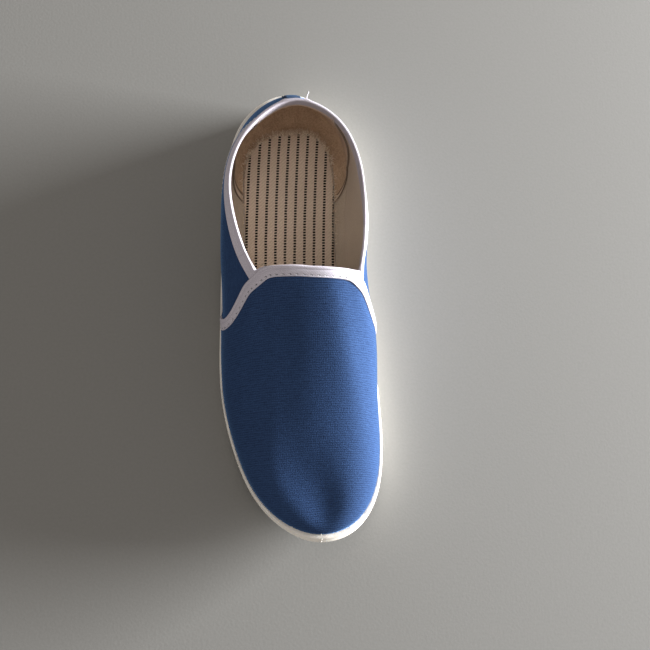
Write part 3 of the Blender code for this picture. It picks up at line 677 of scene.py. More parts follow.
# Heel lining: a fleecy brown piece that covers the heel inside, stitched in under the collar tape. Its
# front edges slant down and forward to the insole, and are folded over and sewn as a narrow rim.
HEEL_LINING = 0.75
FLEECE_PALE = (0.68, 0.49, 0.33, 1)
FLEECE_DARK = (0.40, 0.26, 0.165, 1)
FLEECE_RIM_HIGHLIGHT = (0.70, 0.585, 0.47, 1)
FLEECE_SEAM_SHADE = (0.13, 0.085, 0.055, 1)
HEEL_EDGE = ((-1.0, 86.0), (-0.85, 84.0), (-0.41, 75.5), (0.11, 61.0), (0.40, 50.0), (0.70, 39.0),
             (0.97, 30.0))
HEEL_LINING_ROWS = np.concatenate([np.linspace(-1.0, 0.0, 16)[:-1], np.linspace(0.0, 0.97, 44)])
RIM_STEPS = np.array([0.0, 0.12, 0.35, 0.7, 1.05, 1.3, 1.55, 1.8, 2.05, 2.3, 2.7, 3.4, 4.5])
RIM_WIDTH = 2.0
RIM_RISE = 0.70
RIM_MIDDLE = 0.75
RIM_HALF = 0.85
RIM_SEAM = 0.35
SEAM_PLACE = 1.95
SEAM_SPREAD = 0.35
NAP = 0.10
NAP_PITCH = 5.0
NAP_SEED = 31
NAP_FROM = (2.0, 5.0)
PARED = 0.75
PARED_SPAN = (0.82, 0.9)
HEEL_COLUMNS = 110
OUTER_RIM = 2.6
INNER_RIM = 1.6
heel_edge_curve = curve_through(HEEL_EDGE)


def fleece(name):
    """Short brushed nap, rubbed darker and lighter in patches, with a painted highlight on the folded rim and
    painted shade along its seam and front edge.
    """
    material, tree, shader = new_material(name)
    lengths = cloth_lengths(tree)
    to_edge = node(tree, "SeparateXYZ", {"Vector": lengths}).node.outputs["Z"]
    nap = patches(tree, lengths, 1.1, 0.28, 0.72, 4.0)
    rubbed = patches(tree, lengths, 0.11, 0.30, 0.70, 3.0)
    colour = blended(tree, mixed(tree, (rubbed, 0.40), (nap, 0.7)), FLEECE_DARK, FLEECE_PALE)
    # Paler along the folded rim: a painted highlight on the fold.
    colour = stained(tree, colour, ramp(tree, to_edge, 1.9, 1.4), 0.8, FLEECE_RIM_HIGHLIGHT)
    # Painted shade in the seam's groove behind the rim and in the gap along the rim's front edge.
    from_shaded_seam = math(tree, "ABSOLUTE", math(tree, "SUBTRACT", to_edge, RIM_WIDTH))
    from_shaded_seam = math(tree, "MINIMUM", from_shaded_seam, to_edge)
    colour = stained(tree, colour, ramp(tree, from_shaded_seam, 0.55, 0.15), 0.85, FLEECE_SEAM_SHADE)
    surfaced(tree, shader, colour, nap, 0.8, 0.45, {
        "Roughness": 0.95, "Specular IOR Level": 0.1, "Sheen Weight": 0.3, "Sheen Roughness": 0.5})
    return material


height = HEEL_LINING_ROWS[None, :]
edge_run = heel_edge_curve(height)[..., 0]
middle_columns = np.linspace(-1.0, 1.0, HEEL_COLUMNS)[:, None] * (edge_run - RIM_STEPS[-1] - 1.5)
run = np.concatenate([RIM_STEPS[:, None] - edge_run, middle_columns, edge_run - RIM_STEPS[::-1, None]])
height = np.broadcast_to(height, run.shape)
to_edge = edge_run - np.abs(run)
rim = RIM_RISE * np.clip(1 - ((to_edge - RIM_MIDDLE) / RIM_HALF) ** 2, 0, 1)
rim = rim - RIM_SEAM * bell(to_edge, SEAM_PLACE, SEAM_SPREAD)
fleecy = NAP * ripple(run, height * 40, NAP_PITCH, NAP_SEED) * smooth(to_edge, *NAP_FROM)
thick = HEEL_LINING * (1 - PARED * smooth(height, *PARED_SPAN)) + rim + fleecy
at = run % GIRTH
inside, behind = (off_wall(at, height, pinched(at, height, lift)) for lift in (-WALL - thick, -WALL + 0.1))
lengths = lengths_of(run, inside)
lengths[..., 2] = np.minimum(to_edge, 8.0) / np.where(run > 0, OUTER_RIM, INNER_RIM)
heel_lining = add_sheet("heel_lining", behind, inside, fleece("fleece_brown"), lengths)
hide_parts("upper")


# Vamp binding: white cotton tape folded over the vamp's free edge and sewn down through it, up the
# outer side, across the throat and down the inner side.
TAPE = 0.5
TAPE_GAP = 0.15
VAMP_TAPE_WIDTH = 5.6
VAMP_TAPE_END = 0.12
EDGE_STEP = 0.08
LEG_RUN = 3.5
OUTER_BROAD = 0.2
BROAD_SPAN = (30.0, 60.0)
CORNER_ROUND = 4.0
CORNER_REACH = 24
TAPE_REACH = 20
STITCH_PITCH = 4.1
STITCH_INSET = 4.5
STITCH_BITE = 1.5
STITCH_ARCH = 0.10
STITCH_DIP = 0.30
BEAD = 0.16
BEAD_INSET = 0.45
FOLD = 0.34
FOLD_SHARE = 0.24
TAPE_POINTS = 300
THROAT_FROM = 0.998
SHADED_FOLD_ACROSS = 4.6
SHADED_INNER_LEG = (7.3, 8.0)
LEG_SHARES = (1.0, 0.98, 0.93, 0.87, 0.81, 0.75, 0.66, 0.54, 0.42, 0.33, 0.28, 0.24, 0.20, 0.14, 0.07)
TAPE_TURN = ((0.0, 0.0), (-0.25, -0.06), (-0.5, -0.2), (-TAPE_GAP - TAPE, -0.45))
TAPE_WHITE = (0.71, 0.685, 0.775, 1)
TAPE_SHADE = (0.47, 0.44, 0.515, 1)
TAPE_INSIDE_SHADE = (0.34, 0.31, 0.35, 1)


def cotton_tape(name):
    """Closely woven white tape, greyed between the threads, soiled in patches, with painted shade on its fold
    line and on its leg inside the shoe.
    """
    material, tree, shader = new_material(name)
    lengths = cloth_lengths(tree)
    twill = bands(tree, lengths, "DIAGONAL", 0.75, 1.0)
    weft = bands(tree, lengths, "X", 0.6, 1.2)
    threads = math(tree, "MULTIPLY", twill, weft)
    fuzz = patches(tree, lengths, 1.4, 0.30, 0.74, 3.0)
    soil = patches(tree, lengths, 0.12, 0.50, 0.80, 4.0)
    across = node(tree, "SeparateXYZ", {"Vector": lengths}).node.outputs["Y"]
    from_shaded_fold = math(tree, "ABSOLUTE", math(tree, "SUBTRACT", across, SHADED_FOLD_ACROSS))
    colour = blended(tree, mixed(tree, (fuzz, 0.6), (threads, 0.5)), TAPE_SHADE, TAPE_WHITE)
    colour = stained(tree, colour, soil, 0.25, TAPE_SHADE)
    # Painted shade along the tape's fold line.
    colour = stained(tree, colour, ramp(tree, from_shaded_fold, 0.45, 0.1), 0.45, TAPE_SHADE)
    # Painted shade on the leg of the tape that lies inside the shoe.
    colour = stained(tree, colour, ramp(tree, across, *SHADED_INNER_LEG), 0.7, TAPE_INSIDE_SHADE)
    surfaced(tree, shader, colour, mixed(tree, (threads, 1.0), (fuzz, 0.7)), 0.45, 0.16, {
        "Roughness": 0.9, "Sheen Weight": 0.05})
    return material


def moved_on_wall(run, height, way):
    """Runs and heights after moving along the wall by some lengths in space."""
    steps = 4
    for _ in range(steps):
        along = (wall(run + RUN_STEP, height) - wall(run - RUN_STEP, height)) / (2 * RUN_STEP)
        upward = (wall(run, height) - wall(run, height - HEIGHT_STEP)) / HEIGHT_STEP
        aa, au, uu = (along * along).sum(-1), (along * upward).sum(-1), (upward * upward).sum(-1)
        wa, wu = (way * along).sum(-1) / steps, (way * upward).sum(-1) / steps
        low = aa * uu - au * au
        run = run + (wa * uu - wu * au) / low
        height = np.minimum(height + (wu * aa - wa * au) / low, 1.0)
    return run, height


def pulled(length):
    """How tightly the stitches hold a tape down at some lengths along it."""
    return 0.35 + 0.65 * np.cos(np.pi * length / STITCH_PITCH) ** 2


def tape_relief(depth, length, width):
    """Lift of a sewn tape: beaded selvedges, a fold line, and dips at the stitches."""
    bead = BEAD * bell(depth, width - BEAD_INSET, 0.40)
    fold = -FOLD * bell(depth, FOLD_SHARE * width, 0.30)
    return bead + fold - STITCH_DIP * bell(depth, STITCH_INSET, 0.55) * pulled(length)


def ring_faces(loops, size):
    """Faces of a tube of loops of one size, capped at both ends."""
    index = np.arange(loops * size).reshape(loops, size)
    turned = np.roll(index, -1, axis=1)
    faces = np.stack([index[:-1], turned[:-1], turned[1:], index[1:]], -1).reshape(-1, 4).tolist()
    return faces + [index[0].tolist()[::-1], index[-1].tolist()]


sides = np.linspace(VAMP_TAPE_END, 1.0, 60)
outer_edge = RUN_OUTER + EDGE_STEP + edge_lean(OUTER, sides)
inner_edge = RUN_INNER - EDGE_STEP - edge_lean(INNER, sides)
throat = np.linspace(outer_edge[-1], inner_edge[-1], 120)[1:-1]
edge_run = np.concatenate([outer_edge, throat, inner_edge[::-1]])
edge_height = np.concatenate([sides, np.ones(len(throat)), sides[::-1]])
edge_line = cloth_skin(edge_run, edge_height, 0.0)
edge_length = length_along(edge_line)
even = np.linspace(0, edge_length[-1], TAPE_POINTS)


def eased(values, reach, spread):
    """Values along the vamp's edge, each averaged with its neighbours by a bell of some spread."""
    weights = bell(np.arange(-reach, reach + 1) * even[1], 0.0, spread)
    padded = np.pad(values, ((reach, reach), (0, 0)), mode="reflect", reflect_type="odd")
    return np.stack([np.convolve(column, weights / weights.sum(), mode="valid") for column in padded.T], -1)


edge_places = np.stack([np.interp(even, edge_length, values) for values in (edge_run, edge_height)], -1)
edge_run, edge_height = eased(edge_places, CORNER_REACH, CORNER_ROUND).T
edge_height = np.minimum(edge_height, 1.0)
edge_line = wall(edge_run, edge_height)
edge_ahead = unit(np.gradient(edge_line, axis=0))
edge_out = wall_normal(edge_run, edge_height)
edge_in = unit(np.cross(edge_out, edge_ahead))
on_throat = edge_height >= THROAT_FROM
from_corner = np.minimum(*(np.abs(edge_run - edge_run[on_throat][end]) for end in (0, -1)))
leg_low = GAP - np.where(on_throat, smooth(from_corner, 0.0, LEG_RUN), 0.0) * (GAP + WALL)
tape_face = VAMP_LAYER + TAPE_GAP
broad = 1 + OUTER_BROAD * (1 - smooth(even, *BROAD_SPAN))[:, None]


def on_vamp(depth, lift):
    """Places a depth inside the vamp's edge, at a lift off the wall, eased round the corners."""
    lift = np.broadcast_to(lift, even.shape)
    if depth <= 0:
        return edge_line + edge_in * depth + edge_out * lift[:, None]
    run, height = moved_on_wall(edge_run, edge_height, edge_in * depth * broad)
    return eased(off_wall(run, height, lift), TAPE_REACH, 0.2 + 0.90 * depth)


loops = [on_vamp(VAMP_TAPE_WIDTH - 0.1, tape_face - 0.25)]
for share in LEG_SHARES:
    depth = share * VAMP_TAPE_WIDTH
    edge_round = 0.3 * smooth(share, 0.95, 1.0)
    loops.append(on_vamp(depth, tape_face + TAPE - edge_round + tape_relief(depth, even, VAMP_TAPE_WIDTH)))
for depth, lift in TAPE_TURN:
    loops.append(on_vamp(depth, tape_face + TAPE + lift))
loops.append(on_vamp(-TAPE_GAP - TAPE, leg_low))
loops.append(on_vamp(-TAPE_GAP, leg_low))
loops.append(on_vamp(-TAPE_GAP, tape_face - 0.1))
loops.append(on_vamp(VAMP_TAPE_WIDTH / 2, tape_face - 0.25))
tape_points = np.stack(loops, axis=1)
TAPE_COTTON = cotton_tape("tape_white")


def add_tape(name, length, points):
    """Tape from the loops round it, with its lengths along and round it."""
    across = climbed(points)
    lengths = np.stack([np.broadcast_to(length[:, None], across.shape), across, np.zeros_like(across)], -1)
    return add_piece(name, points.reshape(-1, 3), ring_faces(*points.shape[:2]), TAPE_COTTON,
                     lengths.reshape(-1, 3))


vamp_tape = add_tape("vamp_tape", even, tape_points)
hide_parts("vamp_binding")

# Needle holes: near-black discs set in the tape, painted shade where the holes are.
HOLE_RADIUS = 0.5
HOLE_DRAWN = 0.35
HOLE_STEPS = (-0.2, 0.0, 0.10, 0.12)
HOLE_SHADE = (0.02, 0.019, 0.023, 1)
sewn = on_vamp(STITCH_INSET, tape_face + TAPE - 0.20)
sewn_out = unit(on_vamp(STITCH_INSET, tape_face + TAPE + 1.0) - sewn)
tape_stitches = add_piece("tape_stitches", *threads(
    stitch_lines(even, sewn, sewn_out, STITCH_PITCH, STITCH_BITE, STITCH_ARCH), THREAD_RADIUS), PALE_THREAD)
pierced = np.arange(1, int(even[-1] / STITCH_PITCH)) * STITCH_PITCH
pierced = np.concatenate([pierced - HOLE_DRAWN, pierced + HOLE_DRAWN])
holes = points_along(pierced, even, sewn)
holes_out = points_along(pierced, even, sewn_out)
needle_holes = add_piece("needle_holes", *threads(
    np.stack([holes + up * holes_out for up in HOLE_STEPS], axis=1), HOLE_RADIUS, 8),
    plain_thread("hole_shade", HOLE_SHADE))


FIBRE_RADIUS = 0.14
FIBRE_INSET = 0.4
FIBRE_TURN = 0.5
FIBRE_CURL = 0.18
FIBRE_DROP = 0.5
FIBRE_POINTS = 4
random = np.random.default_rng(17)


def end_fibres(place, way, count, reach):
    """Loose fibres of the tape's cut end, lying on the canvas beside it."""
    depths = np.linspace(FIBRE_INSET, VAMP_TAPE_WIDTH - FIBRE_INSET, count)
    roots = np.stack([on_vamp(depth, tape_face + TAPE - 0.2)[place] for depth in depths])
    turn = random.normal(0.0, FIBRE_TURN, count)[:, None]
    length = random.uniform(0.25, 1.0, count)[:, None] * reach
    heading = edge_ahead[place] * way * np.cos(turn) + edge_in[place] * np.sin(turn)
    share = np.linspace(0, 1, FIBRE_POINTS)[None, :, None]
    drop = edge_out[place] * -FIBRE_DROP
    curl = random.normal(0.0, FIBRE_CURL, (count, FIBRE_POINTS, 3)) * share
    return roots[:, None] + (heading * length)[:, None] * share + drop * share ** 2 + curl


tape_fray = add_piece("tape_fray", *threads(np.concatenate([
    end_fibres(0, -1.0, 15, 3.2), end_fibres(-1, 1.0, 11, 2.0)]), FIBRE_RADIUS), PALE_THREAD)


# Collar bindings: the same tape folded over the top edge of the quarters, one length around the heel
# and a short one on each side in front of it. The long one's ends lap over the short ones, which run
# on under the vamp.
COLLAR_TAPE_WIDTH = 5.5
FRONT_TAPE_WIDTH = 5.8
TAPE_UNDER = 9.0
TAPE_LAP = 1.2
TAPE_PROUD = 0.35
TAPE_SWELL = 1.0
SWELL_RUN = 8.2
SWELL_SPREAD = 2.4
SEWN_DIP = 0.22
OUTER_DEPTHS = (5.5, 5.3, 5.0, 4.7, 4.4, 4.1, 3.2, 2.0, 1.2, 0.8, 0.5)
INNER_DEPTHS = (0.9, 1.4, 1.7, 2.2, 3.2, 4.1, 4.5, 4.9, 5.3, 5.5)
INNER_JOINT = 0.35
CLIMB_STEP = 0.03
WAIST_INNER = PLACES.index("waist_inner")
TAPE_JOINT_OUTER = RUNS[PLACES.index("waist_outer")]
TAPE_JOINT_INNER = RUNS[WAIST_INNER] + INNER_JOINT * (RUNS[WAIST_INNER + 1] - RUNS[WAIST_INNER])
TAPE_END_OUTER = RUN_OUTER + TAPE_UNDER
TAPE_END_INNER = RUN_INNER - TAPE_UNDER


def off_edge(run, depth, lift):
    """Places on columns a depth below the opening's edge, off the wall."""
    run = np.asarray(run) % GIRTH
    climb = wall(leaned(run, 1.0), 1.0) - wall(leaned(run, 1 - CLIMB_STEP), 1 - CLIMB_STEP)
    height = 1 - np.maximum(depth, 0.0) * CLIMB_STEP / np.linalg.norm(climb, axis=-1)
    at = leaned(run, height)
    return off_wall(at, height, pinched(at, height, lift))


def collar_tape(name, node_name, start, end, width, proud=0.0):
    """Tape folded over the collar's edge, square to it, between two columns of the upper."""
    run = leaned(np.linspace(start, end, max(14, int(end - start))) % GIRTH, 1.0)
    height = np.ones_like(run)
    line = wall(run, height)
    length = length_along(line)
    longer = np.pad(line, ((3, 3), (0, 0)), mode="reflect", reflect_type="odd")
    ahead = unit(longer[6:] - longer[:-6])
    out = wall_normal(run, height)
    inward = unit(np.cross(ahead, out))
    inward = inward * np.sign(-inward[:, 2:].mean())
    face = TAPE_GAP + TAPE + proud
    inside = -WALL - TAPE_GAP
    tight = pulled(length)
    from_heel = np.minimum(run % GIRTH, -run % GIRTH)
    swell = TAPE_SWELL * bell(from_heel, SWELL_RUN, SWELL_SPREAD)

    def loop(depth, lift):
        at, up = run, height
        if depth > 0:
            at, up = moved_on_wall(run, height, inward * depth)
        return off_wall(at, up, pinched(at, up, lift)) + inward * min(depth, 0.0)

    loops = [loop(width - 0.1, TAPE_GAP + 0.1)]
    for depth in np.array(OUTER_DEPTHS) * width / COLLAR_TAPE_WIDTH:
        dip = SEWN_DIP * bell(depth, 0.8 * width, 0.4) * tight + 0.12 * bell(depth, 1.0, 0.3)
        loops.append(loop(depth, face - 0.25 * smooth(depth, width - 0.3, width) - dip + swell))
    for depth, lift, swollen in ((0.1, face, 1.0), (-0.3, face - 0.1, 1.0), (-0.5, face - 0.4, 0.8),
                                 (-0.58, TAPE_GAP - 0.3, 0.3), (-0.58, inside + 0.3, 0.0),
                                 (-0.45, inside - 0.2, 0.0), (-0.1, inside - TAPE, 0.0)):
        loops.append(loop(depth, lift + swollen * swell))
    for depth in np.array(INNER_DEPTHS) * width / COLLAR_TAPE_WIDTH:
        fold = SEWN_DIP * bell(depth, 1.5, 0.3)
        dip = SEWN_DIP * bell(depth, 0.82 * width, 0.5) * tight
        loops.append(loop(depth, inside - TAPE + 0.25 * smooth(depth, width - 0.3, width) + dip + fold))
    loops.append(loop(width - 0.1, inside - 0.1))
    loops.append(loop(-TAPE_GAP, inside))
    loops.append(loop(-TAPE_GAP, TAPE_GAP))
    made = add_tape(name, length, np.stack(loops, axis=1))
    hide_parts(node_name)


collar_tape("heel_tape", "collar_binding_heel", TAPE_JOINT_INNER - TAPE_LAP,
            TAPE_JOINT_OUTER + TAPE_LAP + GIRTH, COLLAR_TAPE_WIDTH, TAPE_PROUD)
collar_tape("outer_tape", "collar_binding_outer", TAPE_JOINT_OUTER, TAPE_END_OUTER, FRONT_TAPE_WIDTH)
collar_tape("inner_tape", "collar_binding_inner", TAPE_END_INNER, TAPE_JOINT_INNER, COLLAR_TAPE_WIDTH)


# Heel strip: a short length of blue canvas tape sewn up the seam at the back of the heel, over the
# collar's binding, its canvas darkened and greyed as painted shade. A thread end is left standing beside it.
HEEL_STRIP_WIDTH = 11.5
HEEL_STRIP = 0.6
STRIP_STEP = 2.0
# The quarters' canvas colours darkened and greyed: painted shade on the strip.
STRIP_SHADED_DEEP = (0.012, 0.016, 0.026, 1)
STRIP_SHADED_BLUE = (0.022, 0.030, 0.048, 1)
STRIP_SHADED_PALE = (0.045, 0.058, 0.088, 1)
STRIP_SHEEN = 0.1
STRIP_SEAM = 4.6
strip_runs = np.linspace(-HEEL_STRIP_WIDTH / 2, HEEL_STRIP_WIDTH / 2, 21)
strip_depths = np.concatenate([np.linspace(0.4, 8.0, 14), np.linspace(9.0, 41.0, 40)])
under, over = [], []
for depth in strip_depths:
    over_tape = 1 - smooth(depth, COLLAR_TAPE_WIDTH + GAP, COLLAR_TAPE_WIDTH + STRIP_STEP)
    low = TAPE_GAP + over_tape * (TAPE + TAPE_PROUD + TAPE_GAP)
    rounded = 0.3 * smooth(np.abs(strip_runs), 5.0, HEEL_STRIP_WIDTH / 2)
    sewn = SEWN_DIP * bell(np.abs(strip_runs), STRIP_SEAM, 0.45)
    under.append(off_edge(strip_runs, depth, low))
    over.append(off_edge(strip_runs, depth, low + HEEL_STRIP - rounded - sewn))
under, over = np.stack(under, axis=1), np.stack(over, axis=1)
strip = add_sheet("heel_tape_strip", over, under,
                  woven_canvas("canvas_strip_shaded", STRIP_SHADED_DEEP, STRIP_SHADED_BLUE, STRIP_SHADED_PALE, STRIP_SHEEN),
                  lengths_of(np.broadcast_to(strip_runs[:, None], over.shape[:2]), over))
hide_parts("heel_strip")

TAIL_RUN = -7.6
TAIL_RADIUS = 0.36
TAIL_STEPS = ((0.0, 0.8, -1.5), (0.2, -0.6, 0.2), (0.5, -1.6, 1.4), (0.8, -2.3, 2.6), (1.3, -2.9, 3.8),
              (1.4, -3.3, 4.6))
tail = off_edge(np.array([TAIL_RUN]), 0.0, 0.5) + np.array(TAIL_STEPS)
thread_tail = add_piece("thread_tail", *threads(tail[None], TAIL_RADIUS, 6), PALE_THREAD)


# Insole: beige twill with ten black conductive stripes woven in, cut to the foot and sewn to the
# turned-in edge of the upper. Its cut edge frays at the heel.
INSOLE = 2.2
INSOLE_EASE = 1.3
RIM_DROP = 0.9
INSOLE_WAVE = 0.12
INSOLE_ROWS = 190
INSOLE_COLUMNS = 60
SEAM_POINTS = 900
STRIPE_STEP = 6.06
STRIPE_FIRST = -30.7
STRIPE_STATION = 97.0
STRIPE_WIDTH = 1.65
STRIPE_LEAN = -0.12
STRIPE_BEND = 0.00037
DOT_PITCH = 1.73
DOT_SHARE = 0.64
TWILL_PALE = (0.86, 0.73, 0.60, 1)
TWILL_DARK = (0.56, 0.44, 0.34, 1)
STRIPE_BLACK = (0.004, 0.004, 0.004, 1)


def stripe_drift(along):
    """How far the stripes lie from straight at a station: they bend to the inner side at the heel."""
    return STRIPE_LEAN * along + STRIPE_BEND * along ** 2


def striped_twill(name):
    """Beige twill with dotted black threads at even steps."""
    material, tree, shader = new_material(name)
    lengths = cloth_lengths(tree)
    apart = node(tree, "SeparateXYZ", {"Vector": lengths})
    across, along = apart.node.outputs["X"], apart.node.outputs["Y"]
    wander = node(tree, "TexNoise", {"Vector": lengths, "Scale": 0.12, "Detail": 1.0})
    across = math(tree, "MULTIPLY_ADD", math(tree, "SUBTRACT", wander, 0.5), 0.5, across)
    place = math(tree, "PINGPONG", math(tree, "DIVIDE", across, STRIPE_STEP), 0.5)
    frays = node(tree, "TexNoise", {"Vector": lengths, "Scale": 1.6, "Detail": 2.0})
    half = math(tree, "MULTIPLY_ADD", math(tree, "SUBTRACT", frays, 0.5), 0.3, STRIPE_WIDTH / 2)
    stripe = math(tree, "LESS_THAN", math(tree, "MULTIPLY", place, STRIPE_STEP), half)
    beat = math(tree, "PINGPONG", math(tree, "DIVIDE", along, DOT_PITCH), 0.5)
    shown = math(tree, "LESS_THAN", beat, DOT_SHARE / 2)
    dots = math(tree, "MULTIPLY", stripe, shown)
    twill = bands(tree, lengths, "DIAGONAL", 1.15, 2.0)
    weft = bands(tree, lengths, "Y", 0.85, 2.0)
    threads = mixed(tree, (weft, 0.4), (twill, 0.6))
    fuzz = patches(tree, lengths, 1.2, 0.30, 0.72, 3.0)
    soil = patches(tree, lengths, 0.035, 0.35, 0.70, 4.0)
    colour = blended(tree, mixed(tree, (fuzz, 0.45), (threads, 0.55)), TWILL_DARK, TWILL_PALE)
    colour = stained(tree, colour, soil, 0.45, TWILL_DARK)
    colour = blended(tree, dots, colour, STRIPE_BLACK)
    surfaced(tree, shader, colour, mixed(tree, (threads, 1.0), (fuzz, 0.5), (dots, 0.4)), 0.6, 0.3, {
        "Roughness": 0.95, "Specular IOR Level": 0.0})
    return material


around = np.linspace(0, GIRTH, SEAM_POINTS, endpoint=False)
tucked = wall(leaned(around, -1.0), -1.0)
seam = tucked + toward_middle(tucked) * GAP * INSOLE_EASE
toe_place = int(np.argmax(seam[:, 1]))
outer_side = seam[:toe_place + 1]
inner_side = np.vstack([seam[toe_place:], seam[:1]])[::-1]
low_end, high_end = seam[:, 1].min(), seam[:, 1].max()
turns = np.linspace(0.02, np.pi - 0.02, INSOLE_ROWS)
stations = low_end + (high_end - low_end) * (0.5 - 0.5 * np.cos(turns))
outer_at = np.interp(stations, np.maximum.accumulate(outer_side[:, 1]), outer_side[:, 0])
inner_at = np.interp(stations, np.maximum.accumulate(inner_side[:, 1]), inner_side[:, 0])
shares = 0.5 - 0.5 * np.cos(np.linspace(0, np.pi, INSOLE_COLUMNS))
across = outer_at[:, None] + (inner_at - outer_at)[:, None] * shares[None, :]
along = np.broadcast_to(stations[:, None], across.shape)
to_rim = np.minimum(np.minimum(across - outer_at[:, None], inner_at[:, None] - across),
                    np.minimum(along - low_end, high_end - along))
top = insole_up(along) + INSOLE - RIM_DROP * np.exp(-np.maximum(to_rim, 0) / RIM_DROP)
top = top + INSOLE_WAVE * ripple(across, along, 22.0, 5)
lengths = np.stack([across - stripe_drift(along) + stripe_drift(STRIPE_STATION) - STRIPE_FIRST, along,
                    np.zeros_like(along)], -1)
insole = add_sheet("striped_insole", np.stack([across, along, top], -1),
                   np.stack([across, along, insole_up(along) + 0.05], -1),
                   striped_twill("twill_beige"), lengths)
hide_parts("insole")

FRAY_PALE = (0.86, 0.75, 0.61, 1)
FRAY_BROWN = (0.60, 0.44, 0.31, 1)
FRAY_RADIUS = 0.15
FRAY_ROOTS = (-0.3, 1.3)
FRAY_SUNK = 0.5
FRAY_CURL = 0.35
FRAY_POINTS = 5
random = np.random.default_rng(41)


def frayed(count, spread, reach, rise):
    """Loose fibres that stand out of the insole's edge around the heel and lean on the lining."""
    run = random.normal(0.0, spread, count)
    root = points_along(run % GIRTH, around, seam, GIRTH)
    inward = toward_middle(root)
    sideways = np.stack([-inward[:, 1], inward[:, 0], np.zeros(count)], -1)
    root = root + inward * random.uniform(*FRAY_ROOTS, count)[:, None]
    root[:, 2] = insole_up(root[:, 1]) + INSOLE - FRAY_SUNK
    out = random.uniform(0.2, 1.0, count)[:, None] * reach
    lean = random.normal(0.0, 0.5 * reach, count)[:, None]
    lift = random.uniform(0.3, 1.0, count)[:, None] * rise
    curl = random.normal(0.0, FRAY_CURL, (count, FRAY_POINTS, 3))
    share = np.linspace(0, 1, FRAY_POINTS)[None, :, None]
    path = (root[:, None] - (inward * out)[:, None] * share ** 1.4 + (sideways * lean)[:, None] * share
            + (lift * np.array([0.0, 0.0, 1.0]))[:, None] * share ** 0.8)
    return threads(path + curl * share, FRAY_RADIUS)


for name, colour, count, spread, reach, rise in (
        ("heel_fray_pale", FRAY_PALE, 560, 46.0, 2.8, 2.4),
        ("heel_fray_brown", FRAY_BROWN, 300, 40.0, 3.6, 3.6)):
    fray = add_piece(name, *frayed(count, spread, reach, rise), plain_thread(name, colour))


# Sole: white foamed polyurethane, moulded on to the lasted upper in one shot. A lip, a groove and a
# bumper run round the forepart, and the tread is cut by grooves.
SOLE_COLUMNS = 440
HEEL_FLAT = (0.06, 0.29)
BALL_FLAT = (0.53, 0.73)
HEEL_LIFT = 1.6
ARCH_LIFT = 3.0
ARCH_TOP = 0.41
TOE_SPRING = 13.5
TOE_CURVE = 1.8
LIP_BAND = 0.40
GROOVE_DEPTH = 0.9
GROOVE_HEIGHT = 0.9
GROOVE_FADE = (0.40, 0.55)
BUMPER_SLOPE = 1.3
TREAD_ROUND = (1.8, 2.6)
LIP_SHARE = 0.5
LIP_LEAST = 1.0
LIP_LEAN = 0.2
FLASH_WAVES = ((0.16, 17.0, 21), (0.08, 5.0, 22))
SEAT_ROWS = (-1.0, -0.66, -0.33, -0.12)
SEAT_SHARES = (0.75, 0.40)
TREAD_SHARES = (0.15, 0.30, 0.45, 0.60, 0.75)
TREAD_DEPTH = 2.2
TREAD_GROOVE = 3.0
TREAD_COLUMNS = ("place", "count", "along", "across", "pitch", "drift", "length", "turn")
TREAD_GROUPS = (
    ("inner edge", 8, 156.0, 36.0, 10.5, 0.6, 24.0, -6.0),
    ("outer edge", 6, 152.0, -33.0, 15.5, 1.6, 40.0, 26.0),
    ("inner rail", 1, 192.0, 20.0, 0.0, 0.0, 84.0, 90.0),
    ("outer rail", 1, 186.0, -9.0, 0.0, 0.0, 84.0, 90.0),
    ("middle", 4, 160.0, 5.5, 18.0, 0.0, 20.0, 0.0),
    ("toe", 2, 247.0, 5.0, 11.0, 0.0, 44.0, 0.0),
    ("heel", 1, 62.0, 0.0, 0.0, 0.0, 62.0, 10.0),
    ("heel blocks outer", 2, 74.0, -28.0, 10.0, -0.6, 24.0, 0.0),
    ("heel blocks inner", 2, 78.0, 20.0, 10.0, 0.0, 24.0, 0.0),
)
FOAM_WHITE = (0.90, 0.87, 0.82, 1)
FOAM_SHADE = (0.78, 0.73, 0.66, 1)
FOAM_DIRT = (0.20, 0.175, 0.14, 1)


def moulded_foam(name):
    """Satin skin of foamed polyurethane: fine pits, a yellowed cast and specks of dirt."""
    material, tree, shader = new_material(name)
    place = node(tree, "TexCoord").node.outputs["Object"]
    place = node(tree, "Mapping", {"Vector": place, "Scale": (1 / MM,) * 3})
    yellowed = patches(tree, place, 0.04, 0.35, 0.75, 3.0)
    pits = node(tree, "TexNoise", {"Vector": place, "Scale": 1.7, "Detail": 3.0})
    specks = patches(tree, place, 0.55, 0.72, 0.77, 1.0)
    colour = stained(tree, FOAM_WHITE, yellowed, 0.5, FOAM_SHADE)
    colour = stained(tree, colour, specks, 0.35, FOAM_DIRT)
    surfaced(tree, shader, colour, pits, 0.35, 0.2, {
        "Roughness": 0.55, "Specular IOR Level": 0.35, "Subsurface Weight": 0.15,
        "Subsurface Radius": (0.003, 0.0025, 0.002)})
    return material


def tread_up(along):
    """Height of the tread: flat under heel and ball, lifted at the back, arch and toe."""
    share = np.asarray(along, float) / LENGTH
    back = HEEL_LIFT * np.clip((HEEL_FLAT[0] - share) / HEEL_FLAT[0], 0, 1) ** 2
    arch = ARCH_LIFT * smooth(share, HEEL_FLAT[1], ARCH_TOP) * (1 - smooth(share, ARCH_TOP, BALL_FLAT[0]))
    toe = TOE_SPRING * np.clip((share - BALL_FLAT[1]) / (1 - BALL_FLAT[1]), 0, 1) ** TOE_CURVE
    return back + arch + toe


